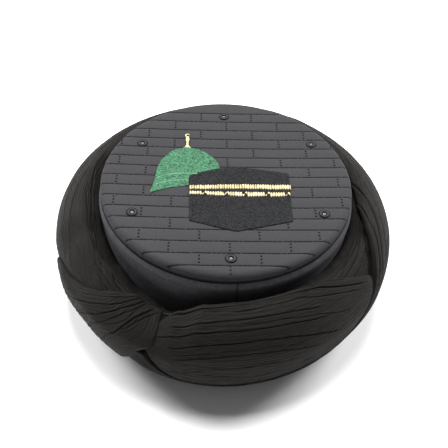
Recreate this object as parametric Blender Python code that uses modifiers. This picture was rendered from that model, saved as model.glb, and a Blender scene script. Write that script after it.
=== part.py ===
"""Wound turban: a stiff quilted cap with a ring of pleated cloth wound and knotted round it."""

import math
from collections import namedtuple

import bmesh
import bpy

# Cap sizes in metres
CAP_HEIGHT = 0.102
CROWN_RADIUS = 0.0866
CROWN_EDGE = 0.0080
CROWN_THICKNESS = 0.0040
SEAM_INSET = 0.0026
SEAM_LIP = 0.0012
SIDE_BASE_RADIUS = 0.0940
SIDE_WALL = 0.0025
SIDE_SHOULDER = 0.0026

# Quilting and vent holes of the crown
QUILT_PITCH = 0.0100
QUILT_FIRST_ROW = 0.0720
QUILT_GROOVE_DEPTH = 0.0008
QUILT_GROOVE_WIDTH = 0.0018
VENT_CIRCLE = 0.0714
VENT_RADIUS = 0.0020
EYELET_RADIUS = 0.0036
EYELET_HEIGHT = 0.0009
EYELET_NECK = 0.0012

# Embroidery laid on the crown
MOTIF_WIDTH = 0.0950
MOTIF_RELIEF = 0.0009
BAND_RELIEF = 0.0007
FINIAL_HEIGHT = 0.0170
FINIAL_HALF_WIDTH = 0.0029
BAND_NECK = 0.0009

# Wound cloth
WRAP_STAND_OUT = 0.0290
WRAP_CORE_DEPTH = 0.0160
WRAP_MIDDLE_HEIGHT = 0.0500
WRAP_FLOOR_GAP = 0.0008
WRAP_ROUNDNESS = 2.3
WRAP_FOOT_WIDTH = 0.0022
WRAP_TOP_LIP = 0.0012
PASS_THICKNESS = 0.0040
PLEAT_DEPTH = 0.0012

# Clearances between neighbouring pieces
CLEARANCE = 0.0003
WRAP_CLEARANCE = 0.0006
PASS_GAP = 0.0013
FAN_GAP = 0.0016
PASS_EDGE_GAP_DEG = 1.2

# Facets of the round pieces, with finer ones where the knot dents the ring
CAP_SIDES = 48
KNOT_FROM_DEG = -60.0
KNOT_TO_DEG = 0.0
EYELET_SIDES = 8
VENT_SIDES = 8
EDGE_STEPS = 3
INNER_EDGE_STEPS = 2
WALL_POINTS = 9
MERGE_DISTANCE = 0.00005

# Angle across the wound ring where its crest lies, 0 outwards and 90 at the cap
CREST_ANGLE = 62.0
CREST_SWELL = 0.13
BARE_BELOW_DEG = -68.0
COVERED_ABOVE_DEG = -46.0
NORMAL_STEP = 3.0
NORMAL_LOWEST = -60.0
NORMAL_HIGHEST = 87.0

Profile = namedtuple("Profile", "height flare")
Section = namedtuple("Section", "azimuth reach crest contact cover slant")
Edges = namedtuple("Edges", "station start end body")
Fold = namedtuple("Fold", "angle groove")
Vent = namedtuple("Vent", "angle reach")
Finial = namedtuple("Finial", "width height")
Pleat = namedtuple("Pleat", "inside groove")

# Side of the cap: heights as shares of the cap's height, flare from crown to base
SIDE_PROFILE = (
    Profile(0.000, 1.00),
    Profile(0.330, 0.54),
    Profile(0.660, 0.21),
    Profile(0.880, 0.00),
)

# The wound ring round the cap: azimuth in degrees from the front, positive to the wearer's left
# reach is a share of the ring's outer radius, crest and contact are shares of the cap's height,
# cover is how far later passes lie over it, slant is how far its folds dip, in degrees
WRAP_SECTIONS = (
    Section(-180.0, 1.002, 0.850, 0.820, 0.0, 0.0),
    Section(-135.0, 1.000, 0.850, 0.815, 0.0, 0.0),
    Section(-95.0, 1.003, 0.850, 0.800, 0.0, 2.0),
    Section(-80.0, 1.002, 0.849, 0.788, 0.0, 5.0),
    Section(-68.0, 0.998, 0.846, 0.775, 0.7, 9.0),
    Section(-52.0, 0.992, 0.832, 0.715, 1.0, 20.0),
    Section(-36.0, 0.992, 0.762, 0.645, 1.0, 24.0),
    Section(-25.0, 0.984, 0.720, 0.595, 1.0, 20.0),
    Section(-17.0, 0.984, 0.768, 0.640, 1.0, 10.0),
    Section(-8.0, 0.984, 0.835, 0.735, 1.0, 0.0),
    Section(2.0, 0.983, 0.850, 0.778, 1.0, 0.0),
    Section(20.0, 0.977, 0.850, 0.804, 1.0, 2.0),
    Section(42.0, 0.973, 0.850, 0.790, 1.0, 14.0),
    Section(62.0, 0.988, 0.850, 0.804, 1.0, 10.0),
    Section(90.0, 0.992, 0.850, 0.812, 1.0, 0.0),
    Section(135.0, 1.001, 0.850, 0.820, 1.0, 0.0),
    Section(150.0, 1.005, 0.850, 0.820, 0.7, 0.0),
    Section(162.0, 1.001, 0.850, 0.820, 0.0, 0.0),
    Section(180.0, 1.002, 0.850, 0.820, 0.0, 0.0),
)

# Folds across the ring from the foot at the floor to the lip at the cap
WRAP_FOLDS = (
    Fold(-80.0, 0.0),
    Fold(-60.0, 0.0),
    Fold(-43.0, 0.0),
    Fold(-30.0, 0.1),
    Fold(-25.0, 0.8),
    Fold(-20.0, 0.1),
    Fold(-4.0, 0.0),
    Fold(10.0, 0.9),
    Fold(15.0, 0.1),
    Fold(27.0, 0.0),
    Fold(38.0, 0.8),
    Fold(42.0, 0.1),
    Fold(49.0, 0.0),
    Fold(53.0, 1.0),
    Fold(56.0, 0.1),
    Fold(61.0, 0.0),
    Fold(64.0, 1.0),
    Fold(66.5, 0.1),
    Fold(70.0, 0.0),
    Fold(72.5, 1.0),
    Fold(75.0, 0.1),
    Fold(79.0, 0.0),
    Fold(82.0, 0.8),
    Fold(85.0, 0.1),
    Fold(90.0, 0.0),
)

# Front pass, from the knot round to its end at the right pass: azimuth, lower and upper angle,
# and its thickness as a share of a pass
FRONT_EDGES = (
    Edges(-21.5, 4.0, 50.0, 0.80),
    Edges(-17.0, -3.0, 60.0, 1.00),
    Edges(-12.0, -8.0, 73.0, 1.00),
    Edges(-6.0, -9.0, 83.0, 1.00),
    Edges(2.0, -9.0, 87.0, 1.00),
    Edges(8.0, -8.5, 87.0, 1.00),
    Edges(14.0, -7.0, 87.0, 1.00),
    Edges(20.0, -5.0, 86.0, 1.00),
    Edges(26.0, -2.5, 83.0, 1.00),
    Edges(32.0, -1.5, 77.0, 1.00),
    Edges(38.0, 2.0, 68.0, 1.00),
    Edges(45.0, 9.0, 57.0, 1.00),
    Edges(50.0, 15.0, 48.0, 0.80),
    Edges(54.0, 25.0, 39.0, 0.60),
)

# Right pass, from under the knot along the bottom and up over the right side to the back
RIGHT_EDGES = (
    Edges(-26.0, -48.0, 0.0, 1.00),
    Edges(-21.5, -48.0, -3.0, 1.00),
    Edges(-17.0, -48.0, -6.5, 1.00),
    Edges(-12.0, -48.0, -11.0, 1.00),
    Edges(-6.0, -48.0, -11.2, 1.00),
    Edges(2.0, -48.0, -11.2, 1.00),
    Edges(8.0, -48.0, -10.7, 1.00),
    Edges(14.0, -48.0, -9.2, 1.00),
    Edges(20.0, -48.0, -7.2, 1.00),
    Edges(26.0, -48.0, -4.7, 1.00),
    Edges(32.0, -48.0, -3.7, 1.00),
    Edges(38.0, -48.0, -0.2, 1.00),
    Edges(45.0, -48.0, 6.3, 1.00),
    Edges(50.0, -48.0, 11.0, 1.00),
    Edges(54.0, -48.0, 20.0, 1.00),
    Edges(57.0, -48.0, 31.0, 1.00),
    Edges(61.0, -48.0, 45.0, 1.00),
    Edges(65.0, -48.0, 54.0, 1.00),
    Edges(70.0, -48.0, 63.0, 1.00),
    Edges(76.0, -48.0, 71.0, 1.00),
    Edges(83.0, -48.0, 78.0, 1.00),
    Edges(91.0, -48.0, 83.0, 1.00),
    Edges(99.0, -48.0, 85.0, 1.00),
    Edges(108.0, -48.0, 85.0, 1.00),
    Edges(117.0, -48.0, 85.0, 1.00),
    Edges(126.0, -48.0, 85.0, 1.00),
    Edges(135.0, -48.0, 85.0, 0.85),
    Edges(144.0, -48.0, 85.0, 0.60),
    Edges(153.0, -48.0, 85.0, 0.35),
)

# Knot fan, from the gap beside the cap down round the ring: angle, left and right azimuth
FAN_EDGES = (
    Edges(84.0, -31.0, -23.0, 1.00),
    Edges(74.0, -33.0, -22.0, 1.00),
    Edges(64.0, -35.5, -21.0, 1.00),
    Edges(55.0, -39.0, -21.0, 1.00),
    Edges(46.0, -43.5, -21.0, 1.00),
    Edges(36.0, -48.5, -21.5, 1.10),
    Edges(25.0, -54.0, -22.5, 1.25),
    Edges(13.0, -61.0, -24.5, 1.40),
    Edges(1.0, -66.0, -27.0, 1.50),
    Edges(-12.0, -69.0, -29.0, 1.45),
    Edges(-25.0, -71.0, -31.0, 1.25),
    Edges(-38.0, -72.0, -33.0, 1.00),
    Edges(-50.0, -72.5, -34.0, 1.00),
)

# How many pleats each pass has, and one pleat: places across it and their depth as shares
FRONT_FOLDS = 12
RIGHT_FOLDS = 8
FAN_FOLDS = 9
PLEAT_SHAPE = (Pleat(0.0, 1.00), Pleat(0.3, 0.00), Pleat(0.8, 0.15))

# Thickness of a pass at its edges as a share of its middle
PASS_EDGE_BODY = 0.45

# Vent holes: azimuth in degrees from the right-hand side, reach as a share of the vent circle
VENTS = (
    Vent(90.7, 0.951),
    Vent(149.8, 0.979),
    Vent(209.0, 0.993),
    Vent(271.0, 1.015),
    Vent(332.0, 1.007),
    Vent(30.5, 1.018),
)

# Outlines of the embroidery, in shares of its width, from the crown's centre
BLOCK_OUTLINE = (
    (-0.272, 0.026),
    (-0.037, 0.111),
    (0.094, 0.128),
    (0.456, 0.059),
    (0.443, -0.431),
    (0.057, -0.525),
    (-0.261, -0.432),
)
DOME_OUTLINE = (
    (-0.276, -0.079),
    (-0.405, -0.111),
    (-0.523, -0.157),
    (-0.543, -0.173),
    (-0.516, -0.043),
    (-0.512, 0.042),
    (-0.498, 0.141),
    (-0.458, 0.221),
    (-0.386, 0.303),
    (-0.293, 0.330),
    (-0.220, 0.317),
    (-0.159, 0.284),
    (-0.091, 0.213),
    (-0.047, 0.120),
    (-0.276, 0.037),
)
UPPER_BAND_OUTLINE = (
    (-0.268, -0.079),
    (0.096, -0.059),
    (0.452, -0.065),
    (0.449, -0.110),
    (0.094, -0.109),
    (-0.268, -0.124),
)
LOWER_BAND_TOP = ((-0.268, -0.134), (0.093, -0.137), (0.447, -0.143))
LOWER_BAND_BOTTOM = ((-0.266, -0.166), (0.092, -0.178), (0.444, -0.179))
LOWER_BAND_BREAKS = ((-0.178, -0.142), (-0.028, 0.006), (0.114, 0.142), (0.262, 0.305), (0.390, 0.426))

# Half outline of the finial over the dome, in shares of its half width and height
FINIAL_FOOT = (-0.293, 0.338)
FINIAL_OUTLINE = (
    Finial(0.90, 0.00),
    Finial(0.45, 0.08),
    Finial(0.28, 0.22),
    Finial(0.26, 0.42),
    Finial(0.55, 0.49),
    Finial(0.55, 0.56),
    Finial(0.26, 0.62),
    Finial(0.70, 0.68),
    Finial(1.00, 0.78),
    Finial(1.00, 0.89),
    Finial(0.62, 1.00),
    Finial(0.74, 0.88),
    Finial(0.60, 0.78),
    Finial(0.00, 0.73),
)

# Heights and radii that follow from the sizes above
SEAM_HEIGHT = CAP_HEIGHT - CROWN_EDGE - SEAM_LIP
SIDE_TOP_RADIUS = CROWN_RADIUS + 0.5 * CLEARANCE
WRAP_RADIUS = SIDE_BASE_RADIUS + WRAP_STAND_OUT
WRAP_CORE_RADIUS = SIDE_BASE_RADIUS - WRAP_CORE_DEPTH
MOTIF_BASE = CAP_HEIGHT + CLEARANCE


def colour(red, green, blue):
    """A full colour value from its three channels."""
    return (red, green, blue, 1.0)


def make_material(name, base, roughness, metallic=0.0):
    """A plain Principled material."""
    material = bpy.data.materials.new(name)
    material.use_nodes = True
    shader = material.node_tree.nodes["Principled BSDF"]
    shader.inputs["Base Color"].default_value = base
    shader.inputs["Roughness"].default_value = roughness
    shader.inputs["Metallic"].default_value = metallic
    return material


def new_collection(name):
    """A collection linked to the scene."""
    collection = bpy.data.collections.new(name)
    bpy.context.scene.collection.children.link(collection)
    return collection


def add_object(name, data, collection, material=None):
    """An object for mesh or curve data, placed in a collection."""
    item = bpy.data.objects.new(name, data)
    collection.objects.link(item)
    if material:
        data.materials.append(material)
    return item


def mix(low, high, share):
    """Straight blend between two values."""
    return low + (high - low) * share


def ease(share):
    """Smooth step from 0 to 1."""
    return share * share * (3.0 - 2.0 * share)


def table_value(table, key, column, at, eased=False):
    """A column's value between the rows of a table that is sorted by its key column."""
    rows = sorted(table, key=lambda row: getattr(row, key))
    if at <= getattr(rows[0], key):
        return getattr(rows[0], column)
    for low, high in zip(rows, rows[1:]):
        if at <= getattr(high, key):
            share = (at - getattr(low, key)) / (getattr(high, key) - getattr(low, key))
            share = ease(share) if eased else share
            return mix(getattr(low, column), getattr(high, column), share)
    return getattr(rows[-1], column)


def side_radius(height):
    """Outer radius of the cap's side at a height."""
    flare = table_value(SIDE_PROFILE, "height", "flare", height / CAP_HEIGHT)
    return mix(SIDE_TOP_RADIUS, SIDE_BASE_RADIUS, flare)


def turned_object(name, profile, sides, collection, material=None):
    """A closed profile turned round Z with a Screw modifier."""
    mesh = bmesh.new()
    points = [mesh.verts.new((radius, 0.0, height)) for radius, height in profile]
    for index, point in enumerate(points):
        mesh.edges.new((point, points[(index + 1) % len(points)]))
    data = bpy.data.meshes.new(name)
    mesh.to_mesh(data)
    mesh.free()
    item = add_object(name, data, collection, material)
    screw = item.modifiers.new("turned", "SCREW")
    screw.axis = "Z"
    screw.angle = math.tau
    screw.steps = sides
    screw.render_steps = sides
    screw.use_merge_vertices = True
    screw.merge_threshold = MERGE_DISTANCE
    screw.use_smooth_shade = True
    return item


def cut(item, cutter):
    """Take a closed cutter out of an object."""
    cutter.hide_render = True
    cutter.display_type = "WIRE"
    boolean = item.modifiers.new("cut_" + cutter.name, "BOOLEAN")
    boolean.operation = "DIFFERENCE"
    boolean.solver = "EXACT"
    boolean.object = cutter


def quilt_rows():
    """Places of the stitched rows from back to front."""
    rows = []
    place = QUILT_FIRST_ROW
    while place > QUILT_GROOVE_WIDTH - CROWN_RADIUS + CROWN_EDGE:
        rows.append(place)
        place -= QUILT_PITCH
    return rows


def groove_cutter(collection):
    """One closed prism with a V section for each stitched row of the crown."""
    mesh = bmesh.new()
    half = 0.5 * QUILT_GROOVE_WIDTH
    rise = QUILT_GROOVE_DEPTH
    for place in quilt_rows():
        ends = []
        for reach in (-CROWN_RADIUS, CROWN_RADIUS):
            section = ((-2.0 * half, CAP_HEIGHT + rise), (2.0 * half, CAP_HEIGHT + rise), (0.0, CAP_HEIGHT - rise))
            ends.append([mesh.verts.new((reach, place + across, height)) for across, height in section])
        for index in range(3):
            after = (index + 1) % 3
            mesh.faces.new((ends[0][index], ends[0][after], ends[1][after], ends[1][index]))
        mesh.faces.new(ends[0])
        mesh.faces.new(ends[1])
    bmesh.ops.recalc_face_normals(mesh, faces=mesh.faces)
    data = bpy.data.meshes.new("quilt_grooves")
    mesh.to_mesh(data)
    mesh.free()
    return add_object("quilt_grooves", data, collection)


def vent_place(vent):
    """Centre of a vent hole on the crown."""
    angle = math.radians(vent.angle)
    reach = vent.reach * VENT_CIRCLE
    return (reach * math.cos(angle), reach * math.sin(angle))


def vent_cutter(collection):
    """A closed pin through the crown for each vent hole."""
    mesh = bmesh.new()
    depth = 4.0 * CROWN_THICKNESS
    for vent in VENTS:
        pin = bmesh.ops.create_cone(
            mesh, cap_ends=True, segments=VENT_SIDES, radius1=VENT_RADIUS, radius2=VENT_RADIUS, depth=depth
        )
        bmesh.ops.translate(mesh, verts=pin["verts"], vec=(*vent_place(vent), CAP_HEIGHT))
    data = bpy.data.meshes.new("vent_pins")
    mesh.to_mesh(data)
    mesh.free()
    return add_object("vent_pins", data, collection)


def build_crown(parts, cutters, material):
    """Quilted disc with a rounded edge, open underneath, with six vent holes."""
    flat = CROWN_RADIUS - CROWN_EDGE
    profile = [(0.0, CAP_HEIGHT)]
    for step in range(EDGE_STEPS + 1):
        turn = 0.5 * math.pi * step / EDGE_STEPS
        radius = flat + CROWN_EDGE * math.sin(turn)
        profile.append((radius, CAP_HEIGHT - CROWN_EDGE * (1.0 - math.cos(turn))))
    inner = CROWN_EDGE - CROWN_THICKNESS
    profile.append((CROWN_RADIUS - SEAM_INSET, SEAM_HEIGHT))
    profile.append((flat + inner - 0.5 * SEAM_INSET, SEAM_HEIGHT))
    for step in range(INNER_EDGE_STEPS + 1):
        turn = 0.5 * math.pi * (1.0 - step / INNER_EDGE_STEPS)
        radius = flat + inner * math.sin(turn)
        profile.append((radius, CAP_HEIGHT - CROWN_THICKNESS - inner * (1.0 - math.cos(turn))))
    profile.append((0.0, CAP_HEIGHT - CROWN_THICKNESS))
    crown = turned_object("crown_top", profile, CAP_SIDES, parts, material)
    cut(crown, groove_cutter(cutters))
    cut(crown, vent_cutter(cutters))


def build_side(parts, material):
    """Stiff side of the cap, flaring to an open base."""
    top = SEAM_HEIGHT - CLEARANCE
    profile = [(CROWN_RADIUS - SEAM_INSET, top)]
    profile.append((side_radius(top - SIDE_SHOULDER), top - SIDE_SHOULDER))
    for row in reversed(SIDE_PROFILE):
        height = row.height * CAP_HEIGHT
        if height < top - 2.0 * SIDE_SHOULDER:
            profile.append((side_radius(height), height))
    for row in SIDE_PROFILE:
        height = row.height * CAP_HEIGHT
        if height < top - 2.0 * SIDE_SHOULDER:
            profile.append((side_radius(height) - SIDE_WALL, height))
    profile.append((CROWN_RADIUS - SEAM_INSET - SIDE_WALL, top))
    turned_object("cap_side", profile, CAP_SIDES, parts, material)


def build_eyelets(parts, material):
    """A flanged ring in each vent hole."""
    bore = 0.5 * VENT_RADIUS
    neck = VENT_RADIUS - CLEARANCE
    seat = MOTIF_BASE
    top = seat + EYELET_HEIGHT
    crest = mix(VENT_RADIUS, EYELET_RADIUS, 0.5)
    profile = [
        (bore, top),
        (crest, top),
        (EYELET_RADIUS, mix(seat, top, 0.5)),
        (EYELET_RADIUS, seat),
        (neck, seat),
        (neck, seat - EYELET_NECK),
        (bore, seat - EYELET_NECK),
    ]
    for number, vent in enumerate(VENTS, 1):
        eyelet = turned_object(f"eyelet_{number}", profile, EYELET_SIDES, parts, material)
        eyelet.location = (*vent_place(vent), 0.0)


def flat_piece(name, outline, base, relief, parts, material):
    """A flat outline in the plane of the crown, raised by its relief."""
    curve = bpy.data.curves.new(name, "CURVE")
    curve.dimensions = "2D"
    curve.fill_mode = "BOTH"
    curve.extrude = 0.5 * relief
    spline = curve.splines.new("POLY")
    spline.points.add(len(outline) - 1)
    for point, (across, along) in zip(spline.points, outline):
        point.co = (across, along, 0.0, 1.0)
    spline.use_cyclic_u = True
    item = add_object(name, curve, parts, material)
    item.location = (0.0, 0.0, base + 0.5 * relief)


def scaled(outline):
    """An embroidery outline in metres."""
    return [(across * MOTIF_WIDTH, along * MOTIF_WIDTH) for across, along in outline]


def line_height(line, across):
    """Height of a bent line of points at a place across it."""
    for low, high in zip(line, line[1:]):
        if across <= high[0]:
            return mix(low[1], high[1], (across - low[0]) / (high[0] - low[0]))
    return line[-1][1]


def lower_band_outline():
    """A bar that narrows to a thread at each of its breaks."""
    neck = 0.5 * BAND_NECK / MOTIF_WIDTH
    top = [LOWER_BAND_TOP[0]]
    bottom = [LOWER_BAND_BOTTOM[0]]
    for start, end in LOWER_BAND_BREAKS:
        for edge, side in ((start, 0), (start, 1), (end, 1), (end, 0)):
            high = line_height(LOWER_BAND_TOP, edge)
            low = line_height(LOWER_BAND_BOTTOM, edge)
            middle = 0.5 * (high + low)
            top.append((edge, middle + neck if side else high))
            bottom.append((edge, middle - neck if side else low))
    top.append(LOWER_BAND_TOP[-1])
    bottom.append(LOWER_BAND_BOTTOM[-1])
    return top + bottom[::-1]


def finial_outline():
    """The finial's outline mirrored from its half, standing on the dome."""
    foot_across = FINIAL_FOOT[0] * MOTIF_WIDTH
    foot_along = FINIAL_FOOT[1] * MOTIF_WIDTH
    half = [(row.width * FINIAL_HALF_WIDTH, row.height * FINIAL_HEIGHT) for row in FINIAL_OUTLINE]
    right = [(foot_across + width, foot_along + height) for width, height in half]
    left = [(foot_across - width, foot_along + height) for width, height in half[:-1]]
    return right + left[::-1]


def build_motif(parts, green, gold, black):
    """Raised embroidery: a dome with its finial behind a banded block."""
    flat_piece("motif_block", scaled(BLOCK_OUTLINE), MOTIF_BASE, MOTIF_RELIEF, parts, black)
    flat_piece("motif_dome", scaled(DOME_OUTLINE), MOTIF_BASE, MOTIF_RELIEF, parts, green)
    flat_piece("motif_finial", finial_outline(), MOTIF_BASE, MOTIF_RELIEF, parts, gold)
    band_base = MOTIF_BASE + MOTIF_RELIEF + CLEARANCE
    flat_piece("motif_band_upper", scaled(UPPER_BAND_OUTLINE), band_base, BAND_RELIEF, parts, gold)
    flat_piece("motif_band_lower", scaled(lower_band_outline()), band_base, BAND_RELIEF, parts, gold)


def power(value):
    """Power of a cosine or sine that makes the ring's section rounder than an ellipse."""
    return math.copysign(abs(value) ** (2.0 / WRAP_ROUNDNESS), value)


def wrap_value(column, azimuth):
    """A column of the ring's table at an azimuth, once round."""
    turned = (azimuth + 180.0) % 360.0 - 180.0
    return table_value(WRAP_SECTIONS, "azimuth", column, turned, eased=True)


def placed(azimuth, radius, height):
    """A point from its azimuth in degrees, radius and height."""
    angle = math.radians(azimuth)
    return (radius * math.sin(angle), -radius * math.cos(angle), height)


def foot_angle(half_width):
    """Angle across the ring at which its underside reaches the cap's side."""
    foot = side_radius(0.0) + WRAP_CLEARANCE + WRAP_FOOT_WIDTH - WRAP_CORE_RADIUS
    return -math.degrees(math.acos((foot / half_width) ** (0.5 * WRAP_ROUNDNESS)))


def skin_outline(azimuth, angle):
    """Radius and height on the ring's outline at an angle across its section."""
    half_width = WRAP_RADIUS * wrap_value("reach", azimuth) - WRAP_CORE_RADIUS
    crest_turn = math.radians(CREST_ANGLE)
    crest_rise = wrap_value("crest", azimuth) * CAP_HEIGHT - WRAP_MIDDLE_HEIGHT
    if angle <= CREST_ANGLE:
        turn = math.radians(max(angle, foot_angle(half_width)))
        upper = crest_rise / power(math.sin(crest_turn))
        half_height = upper if angle > 0.0 else WRAP_MIDDLE_HEIGHT - WRAP_FLOOR_GAP
        out = half_width * power(math.cos(turn))
        up = half_height * power(math.sin(turn))
    else:
        share = (angle - CREST_ANGLE) / (90.0 - CREST_ANGLE)
        contact = wrap_value("contact", azimuth) * CAP_HEIGHT
        wall = side_radius(contact) + WRAP_CLEARANCE + WRAP_TOP_LIP - WRAP_CORE_RADIUS
        crest_out = half_width * power(math.cos(crest_turn))
        out = mix(crest_out, wall, share)
        drop = crest_rise - (contact - WRAP_MIDDLE_HEIGHT)
        swell = CREST_SWELL * half_width * share * (1.0 - share)
        up = crest_rise + swell - drop * share * share
    return WRAP_CORE_RADIUS + out, WRAP_MIDDLE_HEIGHT + up


def skin_place(azimuth, angle, lift):
    """Radius and height on the ring's skin, lifted square to its outline."""
    radius, height = skin_outline(azimuth, angle)
    middle = min(max(angle, NORMAL_LOWEST), NORMAL_HIGHEST)
    before = skin_outline(azimuth, middle - NORMAL_STEP)
    after = skin_outline(azimuth, middle + NORMAL_STEP)
    across = after[0] - before[0]
    along = after[1] - before[1]
    length = math.hypot(across, along)
    radius += lift * along / length
    height -= lift * across / length
    clear_of_side = side_radius(height) + WRAP_CLEARANCE + WRAP_TOP_LIP
    return max(radius, clear_of_side), height


def skin_point(azimuth, angle, lift):
    """A point on or over the ring's skin."""
    return placed(azimuth, *skin_place(azimuth, angle, lift))


def bed_lift(azimuth, angle):
    """How far the ring lies below its outline where later passes cover it, none at its underside."""
    covered = min(max((angle - BARE_BELOW_DEG) / (COVERED_ABOVE_DEG - BARE_BELOW_DEG), 0.0), 1.0)
    return -wrap_value("cover", azimuth) * (PASS_THICKNESS + PASS_GAP) * ease(covered)


def shell_object(name, outer, inner, closed, parts, material):
    """A closed solid between an outer skin and an inner one with fewer points."""
    mesh = bmesh.new()
    tops = [[mesh.verts.new(point) for point in row] for row in outer]
    backs = [[mesh.verts.new(point) for point in row] for row in inner]
    count = len(outer)
    spans = [(row, (row + 1) % count) for row in range(count if closed else count - 1)]
    for row, after in spans:
        for grid in (tops, backs):
            for column in range(len(grid[0]) - 1):
                corners = (grid[row][column], grid[row][column + 1], grid[after][column + 1], grid[after][column])
                mesh.faces.new(corners)
        for edge in (0, -1):
            mesh.faces.new((tops[row][edge], tops[after][edge], backs[after][edge], backs[row][edge]))
    if not closed:
        per_fold = (len(outer[0]) - 1) // (len(inner[0]) - 1)
        for row in (0, count - 1):
            for fold in range(len(inner[0]) - 1):
                rim = tops[row][fold * per_fold:(fold + 1) * per_fold + 1]
                mesh.faces.new(rim + [backs[row][fold + 1], backs[row][fold]])
    bmesh.ops.recalc_face_normals(mesh, faces=mesh.faces)
    data = bpy.data.meshes.new(name)
    mesh.to_mesh(data)
    mesh.free()
    data.shade_smooth()
    data.set_sharp_from_angle(angle=math.radians(40.0))
    add_object(name, data, parts, material)


def slanted(angle, azimuth):
    """Angle across the ring of a fold that dips towards the knot or the front."""
    if angle <= 0.0:
        return angle
    weight = math.sin(math.pi * (angle / 90.0) ** 2)
    return angle - wrap_value("slant", azimuth) * weight


def ring_azimuths():
    """Azimuths of the ring's sections, twice as close round the knot."""
    pitch = 360.0 / CAP_SIDES
    azimuths = []
    for step in range(CAP_SIDES):
        azimuth = pitch * step - 180.0
        azimuths.append(azimuth)
        if KNOT_FROM_DEG <= azimuth < KNOT_TO_DEG:
            azimuths.append(azimuth + 0.5 * pitch)
    return azimuths


def build_ring(parts, material):
    """The first turns of cloth: one padded ring round the cap's side."""
    outer = []
    inner = []
    for azimuth in ring_azimuths():
        outer_row = []
        for fold in WRAP_FOLDS:
            angle = slanted(fold.angle, azimuth)
            lift = bed_lift(azimuth, angle) - fold.groove * PLEAT_DEPTH
            outer_row.append(skin_point(azimuth, angle, lift))
        outer.append(outer_row)
        first = WRAP_FOLDS[0].angle
        last = WRAP_FOLDS[-1].angle
        foot = skin_place(azimuth, first, bed_lift(azimuth, first))[1]
        lip = skin_place(azimuth, last, bed_lift(azimuth, last))[1]
        row = []
        for place in range(WALL_POINTS):
            height = mix(foot, lip, place / (WALL_POINTS - 1))
            row.append(placed(azimuth, side_radius(height) + WRAP_CLEARANCE, height))
        inner.append(row)
    shell_object("wrap_ring", outer, inner, True, parts, material)


def pleat_shares(folds):
    """Places across a pass and how deep its surface dips there."""
    marks = []
    for fold in range(folds):
        for mark in PLEAT_SHAPE:
            marks.append(((fold + mark.inside) / folds, mark.groove))
    marks[0] = (0.0, 0.0)
    marks.append((1.0, 0.0))
    return marks


def pass_thickness(share):
    """Thickness of a pass, thinner towards its two edges."""
    arch = math.sqrt(max(math.sin(math.pi * share), 0.0))
    return PASS_THICKNESS * mix(PASS_EDGE_BODY, 1.0, arch)


def fan_edge(angle):
    """Azimuth of the knot fan's right edge, with the gap that its neighbours keep."""
    return table_value(FAN_EDGES, "station", "end", angle) + PASS_EDGE_GAP_DEG


def build_pass(name, edges, folds, parts, material):
    """A pleated pass that runs round the ring, beginning at the knot fan's edge."""
    outer = []
    inner = []
    for number, row in enumerate(edges):
        outer_row = []
        inner_row = []
        for column, (share, groove) in enumerate(pleat_shares(folds)):
            angle = mix(row.start, row.end, share)
            azimuth = row.station if number else fan_edge(angle)
            seat = bed_lift(azimuth, angle) + PASS_GAP
            lift = seat + row.body * (pass_thickness(share) - groove * PLEAT_DEPTH)
            outer_row.append(skin_point(azimuth, angle, lift))
            if column % len(PLEAT_SHAPE) == 0:
                inner_row.append(skin_point(azimuth, angle, seat))
        outer.append(outer_row)
        inner.append(inner_row)
    shell_object(name, outer, inner, False, parts, material)


def build_fan(parts, material):
    """The pass that crosses over the ring at the front left and spreads downwards from the knot."""
    outer = []
    inner = []
    for row in FAN_EDGES:
        outer_row = []
        inner_row = []
        for column, (share, groove) in enumerate(pleat_shares(FAN_FOLDS)):
            azimuth = mix(row.start, row.end, share)
            seat = bed_lift(azimuth, row.station) + FAN_GAP
            lift = seat + row.body * pass_thickness(share) - groove * PLEAT_DEPTH
            outer_row.append(skin_point(azimuth, row.station, lift))
            if column % len(PLEAT_SHAPE) == 0:
                inner_row.append(skin_point(azimuth, row.station, seat))
        outer.append(outer_row)
        inner.append(inner_row)
    shell_object("knot_fan", outer, inner, False, parts, material)


def clear_scene():
    """Remove whatever the file opened with."""
    for item in list(bpy.data.objects):
        bpy.data.objects.remove(item, do_unlink=True)


def main():
    """Build every piece of the turban."""
    clear_scene()
    parts = new_collection("turban")
    cutters = new_collection("cutters")
    crown_cloth = make_material("crown_cloth", colour(0.105, 0.105, 0.112), 0.85)
    side_cloth = make_material("side_cloth", colour(0.040, 0.041, 0.052), 0.90)
    wrap_cloth = make_material("wrap_cloth", colour(0.028, 0.026, 0.024), 0.80)
    eyelet_thread = make_material("eyelet_thread", colour(0.045, 0.045, 0.050), 0.60)
    green_thread = make_material("green_thread", colour(0.045, 0.300, 0.125), 0.50)
    gold_thread = make_material("gold_thread", colour(0.830, 0.640, 0.190), 0.45)
    black_thread = make_material("black_thread", colour(0.012, 0.012, 0.014), 0.55)
    build_crown(parts, cutters, crown_cloth)
    build_side(parts, side_cloth)
    build_eyelets(parts, eyelet_thread)
    build_motif(parts, green_thread, gold_thread, black_thread)
    build_ring(parts, wrap_cloth)
    build_pass("wrap_front", FRONT_EDGES, FRONT_FOLDS, parts, wrap_cloth)
    build_pass("wrap_right", RIGHT_EDGES, RIGHT_FOLDS, parts, wrap_cloth)
    build_fan(parts, wrap_cloth)


if __name__ == "__main__":
    main()
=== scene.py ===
"""Looks of the wound turban: quilted cap, raised embroidery and pleated cloth, on a plain stage."""

import math
from collections import namedtuple
from functools import lru_cache

import bmesh
import bpy
from mathutils import Matrix, Vector, noise


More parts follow.
